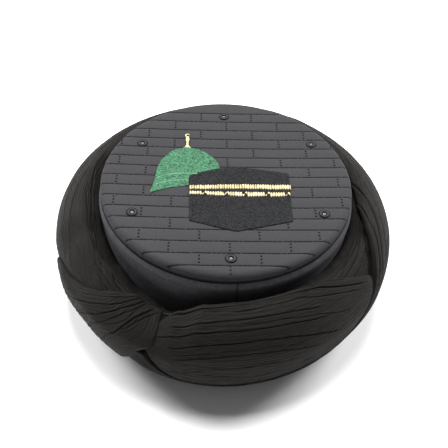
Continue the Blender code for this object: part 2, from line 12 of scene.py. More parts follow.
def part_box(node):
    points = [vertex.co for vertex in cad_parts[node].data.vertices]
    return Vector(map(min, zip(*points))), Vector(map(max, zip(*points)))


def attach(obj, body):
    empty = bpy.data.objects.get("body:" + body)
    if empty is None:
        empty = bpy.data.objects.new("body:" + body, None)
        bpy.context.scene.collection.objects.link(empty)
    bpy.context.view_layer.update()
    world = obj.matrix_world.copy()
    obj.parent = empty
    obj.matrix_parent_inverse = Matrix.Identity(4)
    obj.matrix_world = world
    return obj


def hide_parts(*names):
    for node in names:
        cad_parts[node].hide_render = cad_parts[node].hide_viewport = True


bl_info = {
    "name": "Wound turban",
    "version": (1, 0, 0),
    "blender": (4, 5, 0),
    "location": "3D View > Sidebar > Turban",
    "description": "Dresses the turban's frame in quilted, embroidered and pleated cloth",
    "category": "Object",
}

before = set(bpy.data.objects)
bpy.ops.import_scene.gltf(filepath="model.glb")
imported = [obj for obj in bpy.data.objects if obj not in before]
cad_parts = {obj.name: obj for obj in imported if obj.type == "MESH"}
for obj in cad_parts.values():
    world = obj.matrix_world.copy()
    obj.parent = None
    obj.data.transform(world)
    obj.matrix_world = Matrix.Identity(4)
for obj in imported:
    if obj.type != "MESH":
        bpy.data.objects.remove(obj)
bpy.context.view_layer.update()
CROWN_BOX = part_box("crown_top")
SIDE_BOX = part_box("cap_side")

# Cap, in metres: height and radii come from its solids, seam and rounding from the photograph
CAP_HEIGHT = CROWN_BOX[1].z
CROWN_RADIUS = CROWN_BOX[1].x
CROWN_THICKNESS = 0.0040
SEAM_DROP = 0.0066
SEAM_INSET = 0.0004
SEAM_LIP = 0.0012
SEAM_SHADE = 0.0054
SEAM_FADE = 0.0006
LINE_END = 0.0046
LINE_FADE = 0.0024
SEAM_HEIGHT = CAP_HEIGHT - SEAM_DROP
SIDE_BASE_RADIUS = SIDE_BOX[1].x
SIDE_WALL = 0.0025
CLEARANCE = 0.0003
SIDE_TOP_RADIUS = CROWN_RADIUS + 0.5 * CLEARANCE
CROWN_FLAT = CROWN_RADIUS - 0.0048
SEAM_RADIUS = CROWN_RADIUS - SEAM_INSET
ROUND_DROP = 0.0029
CROWN_WALL = 0.0030
INNER_CORNER = 0.0030
SHOULDER_DROP = 0.0050
SIDE_PUFF = 0.0013
SIDE_PUFF_HEIGHT = 0.0885

# Quilted rows of the crown, their running stitches and the upright tacks between them
ROW_PITCH = 0.0100
FIRST_ROW = 0.0720
LAST_ROW = -0.0780
TACK_PITCH = 0.0380
TACK_SHIFT = 0.0008
LAST_TACK = -0.0816
ROW_END_GAP = 0.0020
TACK_END_GAP = 0.0008
TACKS_EACH_SIDE = 3
TACK_MARKS = (-0.27, 0.0, 0.27)
TACK_SIZE = (0.0014, 0.00130)
TACK_RISE = 0.00012
STITCH_PITCH = 0.0031
STITCH_SIZE = (0.0025, 0.00075)
STITCH_RISE = 0.00004
ROW_COUNT = 16
ROW_LINE = (0.00024, 0.00074)

# How near a point counts as on the crown's wall, on its upper side and in the same place, and the
# thickness of a patch of embroidery underneath
ON_WALL = 0.0001
ON_TOP = 0.0002
SAME_PLACE = 0.000002
PATCH_DEPTH = 0.0005

# Faces round and along the turned and laid pieces
CROWN_SIDES = 400
CROWN_STEPS = 80
ROUNDING_STEPS = 10
SIDE_SIDES = 240
SIDE_STEPS = 56
INNER_STEPS = 12
EYELET_SIDES = 48
BLOCK_GRID = (190, 150)
DOME_GRID = (130, 115)
TIER_GRID = (130, 6)
STEM_GRID = (12, 90)
CRESCENT_GRID = (70, 8)
BAND_GRID = (460, 12)
RING_GRID = (320, 290)
FAN_GRID = (190, 150)

# Length and width in metres of the map of the ring's cloth and the fan's
RING_MAP = (0.77, 0.125)
FAN_MAP = (0.110, 0.050)

# Wound ring, in metres and degrees
WRAP_RADIUS = SIDE_BASE_RADIUS + 0.0290
WRAP_CORE_RADIUS = SIDE_BASE_RADIUS - 0.0160
WRAP_MIDDLE_HEIGHT = 0.0500
WRAP_FLOOR_GAP = 0.0008
WRAP_ROUNDNESS = 2.3
WRAP_FOOT_WIDTH = 0.0022
WRAP_TOP_LIP = 0.0012
WRAP_CLEARANCE = 0.0006
PASS_THICKNESS = 0.0040
PASS_GAP = 0.0013
FAN_GAP = 0.0016
CREST_ANGLE = 62.0
CREST_SWELL = 0.13
BARE_BELOW_DEG = -68.0
COVERED_ABOVE_DEG = -46.0
NORMAL_STEP = 3.0
NORMAL_LOWEST = -60.0
NORMAL_HIGHEST = 87.0
RING_FOOT_ANGLE = -80.0
MM_PER_ANGLE = 0.70
MM_PER_AZIMUTH = 2.10
PLEAT_RUN = 0.0021
PLEAT_OVER = 0.00070
PLEAT_ROUND = 0.756
SEAM_FROM_DEG = 170.0
SEAM_RUN_DEG = 10.0
RING_CALM_SIDE = -92.0
RING_CALM_SPREAD = 42.0
PASS_CALM = 0.50
FAN_CALM = 0.75
FAN_RUN = 0.0009

# Smooth panel at the right of the knot fan: where it starts across the fan and below which angle
PANEL_START = 0.70
PANEL_BLEND = 0.14
PANEL_TOP_DEG = 48.0
PANEL_FADE_DEG = 16.0
PANEL_CALM = 0.08

# Seeds of the small pleats, and the share of a closed section that is its outer side
RING_SEED = 11.0
FAN_SEED = 31.0
RING_OUTER_SHARE = 0.95
PASS_OUTER_SHARE = 0.86

# Stage in metres: the lamps and what they aim at, and the camera's place and axes in the photograph
LAMP_TARGET = (0.0, 0.0, 0.05)
OVERHEAD_PLACE = (-0.02, 0.12, 1.15)
OVERHEAD_SIZE = 0.34
LEFT_PLACE = (-0.95, 0.55, 0.75)
RIGHT_PLACE = (0.95, 0.55, 0.75)
SIDE_LAMP_SIZE = 0.50
FLOOR_SIZE = 4.0
SENSOR_WIDTH = 36.0
CAMERA_PLACE = (-0.01729, -0.30993, 0.38786)
CAMERA_RIGHT = (0.9992, -0.0157, 0.0368)
CAMERA_UP = (-0.0136, 0.7329, 0.6802)
CAMERA_BACK = (-0.0377, -0.6802, 0.7321)

Profile = namedtuple("Profile", "height flare")
Section = namedtuple("Section", "azimuth reach crest contact cover slant")
Edges = namedtuple("Edges", "station start end body", defaults=(1.0,))
Crease = namedtuple("Crease", "depth path width", defaults=(1.0,))
Spot = namedtuple("Spot", "across along")
Vent = namedtuple("Vent", "angle reach")
Half = namedtuple("Half", "width height")
Gap = namedtuple("Gap", "start end")
Calm = namedtuple("Calm", "angle left back")
Form = namedtuple("Form", "sag puff")
Mark = namedtuple("Mark", "place scale depth ends width")
Rolls = namedtuple("Rolls", "low high")
Shape = namedtuple("Shape", "half_width crest_rise contact wall crest_out cover slant")
Ring = namedtuple("Ring", "radius thick finish sunk")
Thread = namedtuple("Thread", "dark light limits roughness run gloss")
Cloth = namedtuple("Cloth", "name columns rows map edges creases rolls seed")


def table_of(kind, *values):
    """A table with all its rows of one kind."""
    return tuple(kind(*value) for value in values)


# Side of the cap: heights as shares of the cap's height, flare from crown to base
SIDE_PROFILE = table_of(Profile, (0.0, 1.0), (0.33, 0.54), (0.66, 0.21), (0.88, 0.0))

# The wound ring round the cap, close to its solid: azimuth, then shares, and the slant in degrees
WRAP_SECTIONS = table_of(
    Section,
    (-180, 1.002, 0.85, 0.82, 0.0, 0.0), (-135, 1.0, 0.85, 0.815, 0.0, 0.0),
    (-95, 0.997, 0.85, 0.8, 0.0, 2), (-80, 0.994, 0.849, 0.788, 0.0, 5),
    (-68, 0.998, 0.846, 0.775, 0.7, 9), (-52, 0.992, 0.832, 0.715, 1.0, 20),
    (-36, 0.992, 0.762, 0.645, 1.0, 24), (-25, 0.984, 0.72, 0.595, 1.0, 20),
    (-17, 0.984, 0.768, 0.64, 1.0, 10), (-8, 0.984, 0.835, 0.735, 1.0, 0.0),
    (2, 0.983, 0.85, 0.778, 1.0, 0.0), (20, 0.977, 0.85, 0.804, 1.0, 2),
    (42, 0.973, 0.85, 0.79, 1.0, 14), (62, 0.988, 0.85, 0.804, 1.0, 10),
    (90, 0.992, 0.85, 0.812, 1.0, 0.0), (135, 1.001, 0.85, 0.82, 1.0, 0.0),
    (150, 1.005, 0.85, 0.82, 0.7, 0.0), (162, 1.001, 0.85, 0.82, 0.0, 0.0),
    (180, 1.002, 0.85, 0.82, 0.0, 0.0),
)

# Front pass: azimuth, lower and upper angle, and its thickness as a share where that isn't 1
FRONT_EDGES = table_of(
    Edges,
    (-29, 10, 34, 0.1), (-26, 3, 44, 0.4), (-24, -5, 50, 0.65), (-22.5, -8, 55, 0.8),
    (-21, -12.5, 59, 0.9), (-18, -19, 66), (-16, -24, 70), (-14, -27, 74), (-10, -27.5, 79),
    (-6, -27, 84), (-2, -26.5, 86), (2, -26, 87), (8, -25, 87), (14, -24, 87), (20, -22.5, 86),
    (26, -21, 83), (32, -20, 77), (38, -18, 68), (43, -14, 60), (47, -9, 53), (50, -4, 47.5),
    (53, 4, 42), (55, 13, 38, 0.9), (57, 23, 33, 0.6),
)

# Right pass in the same columns, from under the knot and up over the right side to the back
RIGHT_EDGES = table_of(
    Edges,
    (-40, -48, 3, 0.1), (-34, -48, 2, 0.45), (-30, -48, 1.5, 0.75), (-27.5, -48, 1.0, 0.95),
    (-26, -48, 1.5), (-24, -48, -6.5), (-22.5, -48, -9.5), (-21, -48, -14), (-18, -48, -22),
    (-16, -48, -27.2), (-14, -48, -30.2), (-10, -48, -30.8), (-6, -48, -30.3), (-2, -48, -29.8),
    (2, -48, -29.3), (8, -48, -28.2), (14, -48, -27.2), (20, -48, -25.6), (26, -48, -24),
    (32, -48, -22.6), (38, -48, -19.5), (43, -48, -15.5), (47, -48, -10.5), (50, -48, -5.5),
    (53, -48, 2.5), (55, -48, 11.5), (57, -48, 20.5), (58.5, -48, 28), (61, -48, 38), (65, -48, 49),
    (70, -48, 59), (74, -48, 68), (78, -48, 77), (83, -48, 84), (91, -48, 85), (117, -48, 85),
    (135, -48, 85), (141, -48, 84.5, 0.9), (147, -48, 84, 0.78), (150, -48, 83, 0.7),
    (153, -48, 82, 0.58), (156, -48, 81, 0.36), (160, -48, 80, 0.08), (162, -48, 79, 0.01),
)

# Knot fan, from beside the cap down round the ring: angle, left and right azimuth, thickness
FAN_EDGES = table_of(
    Edges,
    (80, -32, -27.5, 0.0), (74, -33, -26, 0.12), (68, -34.5, -25, 0.45), (62, -37.5, -24, 0.8),
    (55, -41, -23.3), (46, -44.8, -22.4), (37, -47, -22, 1.05), (29, -51, -22.2, 1.15),
    (24, -54, -22.6, 1.15), (14.4, -61, -23.6, 1.15), (8.5, -70, -24.7, 1.05), (2, -75, -26.2),
    (-12, -78, -30), (-25, -79, -33.5, 1.05), (-38, -79, -36, 1.05), (-50, -79, -37),
)

# Creases of the ring: depth in millimetres, azimuth and angle along it, and its width if not 1
RING_CREASES = table_of(
    Crease,
    (1.0, ((-104, 60), (-95, 56), (-88, 53), (-78, 49), (-71, 40), (-63, 24))),
    (0.7, ((-112, 50), (-100, 45), (-90, 42), (-80, 38), (-72, 28), (-66, 14))),
    (1.7, ((-114, 70), (-106, 70), (-94, 77), (-82, 80), (-72, 81), (-61, 73), (-53, 57),
           (-48, 44))),
    (1.2, ((-90, 70), (-79, 73), (-70, 71), (-60, 61), (-52, 50), (-46, 40))),
    (1.6, ((-88, 83), (-78, 86), (-70, 86), (-60, 80), (-51, 68), (-43, 54))),
    (1.2, ((-68, 84), (-59, 75), (-51, 62), (-45, 49))),
    (1.5, ((-66, 88), (-57, 84), (-49, 77), (-42, 68), (-37, 58))),
    (1.2, ((-56, 88), (-48, 84), (-41, 77), (-35, 68), (-31, 60))),
    (1.0, ((-50, 88), (-42, 84), (-35, 77), (-30, 70))),
    (1.4, ((84, 88), (74, 86), (66, 82), (58, 77), (51, 70), (45, 60))),
    (1.2, ((80, 83), (72, 77), (62, 71), (53, 64), (46, 56))),
    (1.6, ((76, 74), (71, 67), (62, 60), (54, 56), (47, 52))),
    (1.2, ((76, 68), (71, 60), (65, 53), (57, 48), (50, 44))),
    (1.4, ((74, 65), (70, 58), (63, 49), (56, 41))),
    (1.1, ((72, 59), (68, 51), (62, 41), (55, 34))),
    (1.0, ((66, 88), (56, 85), (47, 78), (40, 69))),
    (1.2, ((57, 22), (58.5, 30), (61, 40), (65, 51), (70, 61.5), (74, 70.5), (78, 79),
           (83, 86)), 1.7),
    (1.2, ((-178, 76), (-165, 74), (-150, 75), (-135, 73), (-122, 74))),
    (1.0, ((158, 80), (170, 77), (179, 76))),
    (1.2, ((-179, 58), (-165, 61), (-148, 59), (-130, 61), (-115, 56))),
    (1.0, ((156, 50), (166, 55), (179, 58))),
    (1.1, ((-179, 38), (-160, 34), (-140, 38), (-120, 32), (-104, 30))),
    (1.0, ((154, 30), (166, 35), (179, 38))),
    (1.2, ((-179, 12), (-160, 8), (-135, 12), (-110, 6), (-92, 8), (-78, 2))),
    (1.0, ((156, 6), (168, 10), (179, 12))),
    (1.1, ((-179, -14), (-150, -18), (-120, -13), (-95, -18), (-78, -16))),
    (1.0, ((156, -18), (168, -16), (179, -14))),
    (1.0, ((-179, -36), (-150, -33), (-120, -38), (-90, -34), (-76, -36))),
)

# Creases of the front pass
FRONT_CREASES = table_of(
    Crease,
    (1.25, ((-23, 54.5), (-19, 58.5), (-11, 63), (-3, 67.5), (4, 70), (14, 73.5), (25, 72),
        (35, 61), (44, 48), (52, 36))),
    (0.86, ((-19, 46), (-10, 49.5), (-3, 52.5), (10, 54), (22, 52), (32, 45))),
    (1.01, ((-22, 33), (-17, 36.5), (-10, 40.5), (-3, 43), (10, 43.5), (21, 41.5), (33, 34))),
    (0.94, ((-17, 23.5), (-9, 28.5), (-2, 31.5), (10, 33), (20, 29), (29, 20.5), (38, 8.5))),
    (0.7, ((-16, 9), (-8, 15), (0, 19.5), (8, 20), (16, 18), (30, 6.5))),
    (0.62, ((-18, -10), (-9, -1), (-2, 4), (4, 4.5), (12, 5), (22, 2))),
    (0.55, ((-8, -4), (0, -4.5), (10, -7), (19, -7))),
    (0.7, ((6, 80), (16, 80), (26, 77), (36, 67), (46, 52))),
    (0.7, ((2, 60), (14, 63), (26, 61), (38, 49), (50, 33))),
    (0.55, ((6, 49), (18, 48), (30, 40), (42, 24))),
    (0.39, ((-14, 16), (-6, 22), (4, 26), (14, 25), (24, 17))),
    (0.39, ((22, -4), (34, -8), (44, -6))),
    (0.39, ((-14, -15), (-4, -11), (8, -12), (20, -13), (32, -12))),
    (0.39, ((-12, -21), (0, -18), (14, -18))),
)

# Creases of the right pass
RIGHT_CREASES = table_of(
    Crease,
    (1.5, ((40, -17), (50, -13), (56, -9), (59.5, -2), (61.5, 6), (62.6, 19), (65.8, 32.3),
        (71, 43.4), (80, 54.6), (86.2, 62.2), (92, 73.1), (99, 84)), 2.1),
    (1.0, ((54.5, -2), (57.7, 8), (60, 24), (66, 41), (73, 55), (80, 71), (86, 83)), 1.6),
    (0.5, ((98, 64), (90, 54), (82, 46), (75, 37), (70, 26), (67, 10), (64, -4)), 2),
    (0.6, ((150, 66), (134, 66), (118, 66), (110, 66), (102, 64), (96, 60)), 2),
    (0.8, ((158, 76), (146, 74), (134, 76), (122, 78), (112, 76)), 1.4),
    (0.8, ((158, 48), (150, 48), (136, 44), (122, 42), (108, 36), (96, 30)), 1.6),
    (0.8, ((156, 24), (134, 22), (116, 16), (98, 8), (84, -2), (70, -12)), 1.6),
    (0.8, ((156, -2), (128, -6), (106, -12), (84, -20), (62, -26)), 1.5),
    (0.7, ((150, -26), (116, -28), (90, -34), (60, -37)), 1.5),
    (1.6, ((-28, -5), (-26.5, -12), (-25, -17), (-22.5, -25), (-19, -32), (-14, -36), (-6, -38),
        (6, -38), (20, -35), (34, -31), (44, -26)), 1.2),
    (1.0, ((-31, -14), (-28, -22), (-24, -31), (-18, -39), (-10, -43))),
)

# Creases of the knot fan, given from the top of the ring downwards
FAN_CREASES = table_of(
    Crease,
    (0.7, ((-33, 64), (-37, 56), (-41, 47), (-45, 37), (-50, 25), (-56, 14))),
    (0.8, ((-32, 64), (-35, 55), (-38, 46), (-42, 35), (-47, 23), (-53, 10), (-60, -2))),
    (0.9, ((-31, 63), (-33, 54), (-36, 45), (-39, 34), (-43, 20), (-48, 6), (-55, -10))),
    (0.7, ((-30, 62), (-31.5, 53), (-34, 44), (-36.5, 34), (-40, 19), (-44, 4), (-49, -12))),
    (1.3, ((-27, 60), (-29, 52), (-31, 43.6), (-33, 31), (-35, 17.6), (-37.5, 7), (-41, -6))),
    (0.8, ((-24.5, 60), (-26.5, 54), (-28.5, 47), (-30, 40))),
    (0.25, ((-23.5, 52), (-25, 45), (-27, 36), (-29, 24), (-32, 8), (-35, -8))),
    (0.2, ((-24, 30), (-26, 16), (-30, 2), (-34, -14))),
    (0.7, ((-35, 66), (-39, 56), (-43, 45), (-48, 33), (-55, 19))),
    (0.7, ((-46, 14), (-52, 0), (-58, -14), (-62, -28))),
    (0.6, ((-58, 10), (-62, -2), (-65, -16), (-66, -30))),
)

# Shares of a pass's width over which its edges roll up
FRONT_ROLLS = Rolls(0.050, 0.060)
RIGHT_ROLLS = Rolls(0.100, 0.035)
FAN_ROLLS = Rolls(0.340, 0.070)

# The two passes: faces along and across, map in metres, tables, and the seed of their small pleats
FRONT_PASS = Cloth(
    "front_pass", 150, 230, (0.160, 0.075), FRONT_EDGES, FRONT_CREASES, FRONT_ROLLS, 17.0
)
RIGHT_PASS = Cloth(
    "right_pass", 300, 240, (0.380, 0.100), RIGHT_EDGES, RIGHT_CREASES, RIGHT_ROLLS, 23.0
)

# How calm the ring's cloth is across its section: shares of its small pleats at its left and back
RING_CALM = table_of(
    Calm,
    (-80, 0.6, 0.6), (-20, 0.35, 0.6), (20, 0.25, 0.6), (56, 0.3, 0.65), (68, 0.75, 0.8),
    (74, 1.0, 1.0), (90, 1.0, 1.0),
)

# Vent holes: azimuth in degrees from the right-hand side, reach as a share of the vent circle
VENT_CIRCLE = 0.0714
VENTS = table_of(
    Vent,
    (90.7, 0.951), (149.8, 0.979), (209, 0.993), (271, 1.015), (332, 1.007), (30.5, 1.018),
)

# Rings of an eyelet in millimetres: radius, thickness, finish and how deep it lies
EYELET_RINGS = table_of(
    Ring,
    (3.25, 0.42, 0, 0.0), (2.40, 0.46, 1, 0.0), (1.55, 0.46, 0, 0.0), (0.65, 0.36, 2, -0.35),
)
EYELET_RISE = 0.15
EYELET_RIPPLE = 0.016
EYELET_STITCHES = 24.0
EYELET_SWELL = 0.00025
EYELET_SWELL_REACH = 0.0023
EYELET_SWELL_WIDTH = 0.0012
# Colours of the dark rings, the pale ring and the bore; the bore's pale colour is a painted glint
EYELET_COLOURS = ((0.006, 0.006, 0.007), (0.050, 0.050, 0.055), (0.26, 0.25, 0.24))

# Threads: dark and light share of the colour, limits of the speckle that is partly painted sheen,
# roughness, stitches' run, gloss
GREEN_THREAD = Thread(0.35, 2.1, (0.45, 0.62), 0.42, (700.0, 1200.0, 500.0), 0.3)
PALE_THREAD = Thread(0.75, 1.3, (0.42, 0.68), 0.36, (900.0, 500.0, 300.0), 0.4)
GOLD_THREAD = Thread(0.50, 1.20, (0.42, 0.64), 0.34, (1300.0, 200.0, 300.0), 0.5)
BLACK_THREAD = Thread(0.25, 5.6, (0.48, 0.62), 0.55, (1100.0, 1500.0, 500.0), 0.12)
UNDERLAY = 0.0001
BAND_RAGGED = 0.00035
BAND_TEETH = 0.00095

# Embroidery, in millimetres from the crown's centre
BLOCK_TOP = table_of(Spot, (-25.8, 2.5), (-3.5, 10.5), (8.9, 12.2), (43.4, 5.6))
BLOCK_BOTTOM = table_of(Spot, (-24.9, -40.9), (5.4, -49.9), (42.2, -40.9))
DOME_TOP = table_of(
    Spot,
    (-51.8, -16), (-49.4, -4), (-48.8, 4), (-48.2, 9), (-47.3, 13.4), (-45.7, 17.5), (-43.5, 21.2),
    (-40.4, 25.5), (-36.7, 28.9), (-32.4, 31), (-27.8, 31.8), (-24.3, 31.4), (-20.9, 30.3),
    (-17.9, 28.9), (-15.1, 27), (-11.7, 24), (-8.6, 20.3), (-6.4, 16.2), (-4.7, 11.6),
)
DOME_BOTTOM = table_of(
    Spot,
    (-51.8, -16.6), (-49.7, -14.9), (-38.5, -10.5), (-26.2, -7.6), (-25.8, 2.2), (-5.2, 10),
)
UPPER_TIER = table_of(
    Spot, (-48.6, -1.6), (-43, 1.6), (-37.9, 3.2), (-31, 4.1), (-25, 4), (-20.5, 3.9)
)
LOWER_TIER = table_of(Spot, (-49, -8), (-44, -5.8), (-37.5, -4.1), (-31, -2.7), (-26.6, -2.2))
UPPER_BAND_TOP = table_of(Spot, (-25.4, -7.8), (9.1, -6.1), (43.5, -6.6))
UPPER_BAND_BOTTOM = table_of(Spot, (-25.4, -12.2), (8.9, -11.1), (43.5, -11.1))
LOWER_BAND_TOP = table_of(Spot, (-25.3, -13.8), (8.8, -13.9), (42.9, -14.1))
LOWER_BAND_BOTTOM = table_of(Spot, (-25.3, -16.9), (8.7, -18.1), (42.9, -18.1))
LOWER_BAND_GAPS = table_of(Gap, (-17.6, -13.6), (-2.9, 1.2), (9.8, 13.8), (25, 29.2), (38.6, 42.4))
TIER_WIDTH = 1.05
LINK_WIDTH = 0.50
CRESCENT_RADIUS = 1.45
CRESCENT_RISE = 13.2
FINIAL_FOOT = Spot(-27.9, 31.2)
FINIAL_HALVES = table_of(
    Half,
    (3.4, 0.0), (2.3, 0.8), (1.4, 1.8), (0.8, 3.2), (0.7, 7), (1.3, 8.6), (1.5, 9.8), (1.1, 11),
    (0.5, 11.8),
)


def mix(low, high, share):
    """Straight blend between two values."""
    return low + (high - low) * share


def clamp(value, low=0.0, high=1.0):
    """A value kept between two limits."""
    return min(max(value, low), high)


def ease(share):
    """Smooth step from 0 to 1."""
    return share * share * (3.0 - 2.0 * share)


def bell(value, width):
    """A smooth hump, 1 at 0 and fading beyond its width."""
    return math.exp(-((value / width) ** 2))


def table_value(table, key, column, at, eased=False):
    """A column's value between the rows of a table whose key column rises or falls."""
    rising = table[0][key] < table[-1][key]
    if at <= table[0][key] if rising else at >= table[0][key]:
        return table[0][column]
    for low, high in zip(table, table[1:]):
        if at <= high[key] if rising else at >= high[key]:
            share = (at - low[key]) / (high[key] - low[key])
            share = ease(share) if eased else share
            return mix(low[column], high[column], share)
    return table[-1][column]


def side_radius(height):
    """Outer radius of the cap's side at a height."""
    flare = table_value(SIDE_PROFILE, 0, 1, height / CAP_HEIGHT)
    return mix(SIDE_TOP_RADIUS, SIDE_BASE_RADIUS, flare)


def power(value):
    """Power of a cosine or sine that makes the ring's section rounder than an ellipse."""
    return math.copysign(abs(value) ** (2.0 / WRAP_ROUNDNESS), value)


@lru_cache(maxsize=None)
def ring_shape(azimuth):
    """The ring's section at an azimuth, once round."""
    turned = (azimuth + 180.0) % 360.0 - 180.0
    reach, crest, contact, cover, slant = (
        table_value(WRAP_SECTIONS, 0, column, turned, eased=True) for column in range(1, 6)
    )
    half_width = WRAP_RADIUS * reach - WRAP_CORE_RADIUS
    crest_rise = crest * CAP_HEIGHT - WRAP_MIDDLE_HEIGHT
    contact = contact * CAP_HEIGHT
    wall = side_radius(contact) + WRAP_CLEARANCE + WRAP_TOP_LIP - WRAP_CORE_RADIUS
    crest_out = half_width * power(math.cos(math.radians(CREST_ANGLE)))
    return Shape(half_width, crest_rise, contact, wall, crest_out, cover, slant)


def skin_outline(shape, angle):
    """Radius and height on the ring's outline at an angle across its section."""
    if angle <= CREST_ANGLE:
        foot = side_radius(0.0) + WRAP_CLEARANCE + WRAP_FOOT_WIDTH - WRAP_CORE_RADIUS
        lowest = -math.degrees(math.acos((foot / shape.half_width) ** (0.5 * WRAP_ROUNDNESS)))
        turn = math.radians(max(angle, lowest))
        upper = shape.crest_rise / power(math.sin(math.radians(CREST_ANGLE)))
        half_height = upper if angle > 0.0 else WRAP_MIDDLE_HEIGHT - WRAP_FLOOR_GAP
        out = shape.half_width * power(math.cos(turn))
        up = half_height * power(math.sin(turn))
    else:
        share = (angle - CREST_ANGLE) / (90.0 - CREST_ANGLE)
        out = mix(shape.crest_out, shape.wall, share)
        drop = shape.crest_rise - (shape.contact - WRAP_MIDDLE_HEIGHT)
        swell = CREST_SWELL * shape.half_width * share * (1.0 - share)
        up = shape.crest_rise + swell - drop * share * share
    return WRAP_CORE_RADIUS + out, WRAP_MIDDLE_HEIGHT + up


def skin_point(azimuth, angle, lift):
    """A point on or over the ring's skin, lifted square to its outline."""
    shape = ring_shape(round(azimuth, 2))
    radius, height = skin_outline(shape, angle)
    middle = clamp(angle, NORMAL_LOWEST, NORMAL_HIGHEST)
    before = skin_outline(shape, middle - NORMAL_STEP)
    after = skin_outline(shape, middle + NORMAL_STEP)
    across = after[0] - before[0]
    along = after[1] - before[1]
    length = math.hypot(across, along)
    radius += lift * along / length
    height -= lift * across / length
    radius = max(radius, side_radius(height) + WRAP_CLEARANCE + 0.2 * WRAP_TOP_LIP)
    turn = math.radians(azimuth)
    return Vector(
        (radius * math.sin(turn), -radius * math.cos(turn), max(height, 0.5 * WRAP_FLOOR_GAP))
    )


def bed_lift(azimuth, angle):
    """How far the ring lies below its outline where later passes cover it, none underneath."""
    covered = clamp((angle - BARE_BELOW_DEG) / (COVERED_ABOVE_DEG - BARE_BELOW_DEG))
    return -ring_shape(round(azimuth, 2)).cover * (PASS_THICKNESS + PASS_GAP) * ease(covered)


def slanted(angle, azimuth):
    """Angle across the ring of a fold that dips towards the knot or the front."""
    if angle <= 0.0:
        return angle
    weight = math.sin(math.pi * (angle / 90.0) ** 2)
    return angle - ring_shape(round(azimuth, 2)).slant * weight


def cap_form():
    """The cap's dish and swell as they are set."""
    settings = bpy.context.scene.turban_cap
    return Form(settings.sag, settings.puff)


def dish(form, reach):
    """How far the crown dips at a distance from its middle."""
    return form.sag * clamp(1.0 - (reach / (CROWN_RADIUS - SEAM_LIP)) ** 2)


def rounding(reach):
    """Share of the crown's rounded edge that lies within a distance from its middle."""
    return clamp((reach - CROWN_FLAT) / (SEAM_RADIUS - CROWN_FLAT))


def edge_drop(reach):
    """How far the crown's upper side falls where it rounds over to the seam."""
    return ROUND_DROP * (1.0 - math.sqrt(max(1.0 - rounding(reach) ** 2, 0.0)))


def crown_height(form, across, along):
    """Height of the crown's upper side: a shallow dish, softly swollen between its rows."""
    reach = math.hypot(across, along)
    share = (FIRST_ROW - along) / ROW_PITCH
    inside = abs(share - round(share)) * 2.0
    quilted = -0.5 < share < ROW_COUNT - 0.1
    swell = form.puff * math.sin(0.5 * math.pi * inside) if quilted else form.puff
    ripple = 0.00018 * noise.noise(Vector((across * 55.0, along * 130.0, 3.0)))
    relief = (swell - form.puff + ripple) * (1.0 - 0.6 * rounding(reach))
    return CAP_HEIGHT - dish(form, reach) - edge_drop(reach) + relief


def pleats(along, across, pitch, seed):
    """Small loose pleats along a pass: how far the cloth swells and creases, as shares; the crease
    share also sets painted shade.
    """
    wander = noise.noise(Vector((along * 9.0, across * 22.0, seed)))
    place = across / pitch + 0.9 * wander
    cell = math.floor(place)
    inside = place - cell
    depths = []
    for mark in (cell, cell + 1):
        strength = noise.noise(Vector((along * 16.0, mark * 7.31, seed + 5.0)))
        depths.append(clamp(0.50 + 1.30 * strength))
    crease = depths[0] * bell(inside, 0.24) + depths[1] * bell(1.0 - inside, 0.12)
    return math.sin(math.pi * inside), crease


def crease_spans(creases, key):
    """Creases with their paths sorted along the key column, 0 for azimuth and 1 for angle."""
    return [
        Crease(row.depth, sorted(row.path, key=lambda spot: spot[key]), row.width)
        for row in creases
    ]


def crease_marks(spans, at, key, fade):
    """The creases that cross a station: place, millimetres per degree off it, depth and fading."""
    scale = MM_PER_ANGLE if key == 0 else -MM_PER_AZIMUTH
    run = MM_PER_AZIMUTH if key == 0 else MM_PER_ANGLE
    marks = []
    for depth, path, width in spans:
        if not path[0][key] - fade < at < path[-1][key] + fade:
            continue
        place = table_value(path, key, 1 - key, at)
        further = table_value(path, key, 1 - key, at + 1.0)
        steep = (further - place) * scale / run
        starting = clamp((at - path[0][key] + fade) / (2.0 * fade))
        ending = clamp((path[-1][key] + fade - at) / (2.0 * fade))
        slope = scale / math.sqrt(1.0 + steep * steep)
        marks.append(Mark(place, slope, depth, ease(starting * ending), width))
    return marks


def marks_at(stations, spans, at, key, fade):
    """The creases that cross a station, worked out once for each station."""
    if at not in stations:
        stations[at] = crease_marks(spans, at, key, fade)
    return stations[at]


def creased(marks, other):
    """How far a station's creases move the skin, in metres, and their painted shade as a share."""
    moved = 0.0
    dark = 0.0
    for mark in marks:
        offset = (other - mark.place) * mark.scale
        if abs(offset) > 6.0 * mark.width:
            continue
        width = (0.30 + 0.13 * mark.depth) * mark.width
        cut = bell(offset, width)
        ridge = 0.28 * bell(offset - 2.4 * width, 1.8 * width)
        ridge += 0.10 * bell(offset + 3.0 * width, 2.0 * width)
        moved += mark.ends * mark.depth * (0.85 * ridge - 0.85 * cut)
        dark = max(dark, mark.ends * clamp(mark.depth) * bell(offset + 0.2 * width, 0.9 * width))
    return 0.001 * moved, dark


def settle(mesh, name, material):
    """A finished object from a bmesh, riding on the frame's body."""
    data = bpy.data.meshes.new(name)
    mesh.to_mesh(data)
    mesh.free()
    data.shade_smooth()
    for finish in material if isinstance(material, (list, tuple)) else [material]:
        data.materials.append(finish)
    item = bpy.data.objects.new(name, data)
    bpy.context.scene.collection.objects.link(item)
    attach(item, "root")
    return item


def close_up(mesh):
    """Close seams, poles and open ends, and turn every face outwards."""
    bmesh.ops.remove_doubles(mesh, verts=mesh.verts, dist=SAME_PLACE)
    rims = [edge for edge in mesh.edges if edge.is_boundary]
    if rims:
        bmesh.ops.holes_fill(mesh, edges=rims, sides=0)
    bmesh.ops.recalc_face_normals(mesh, faces=mesh.faces)


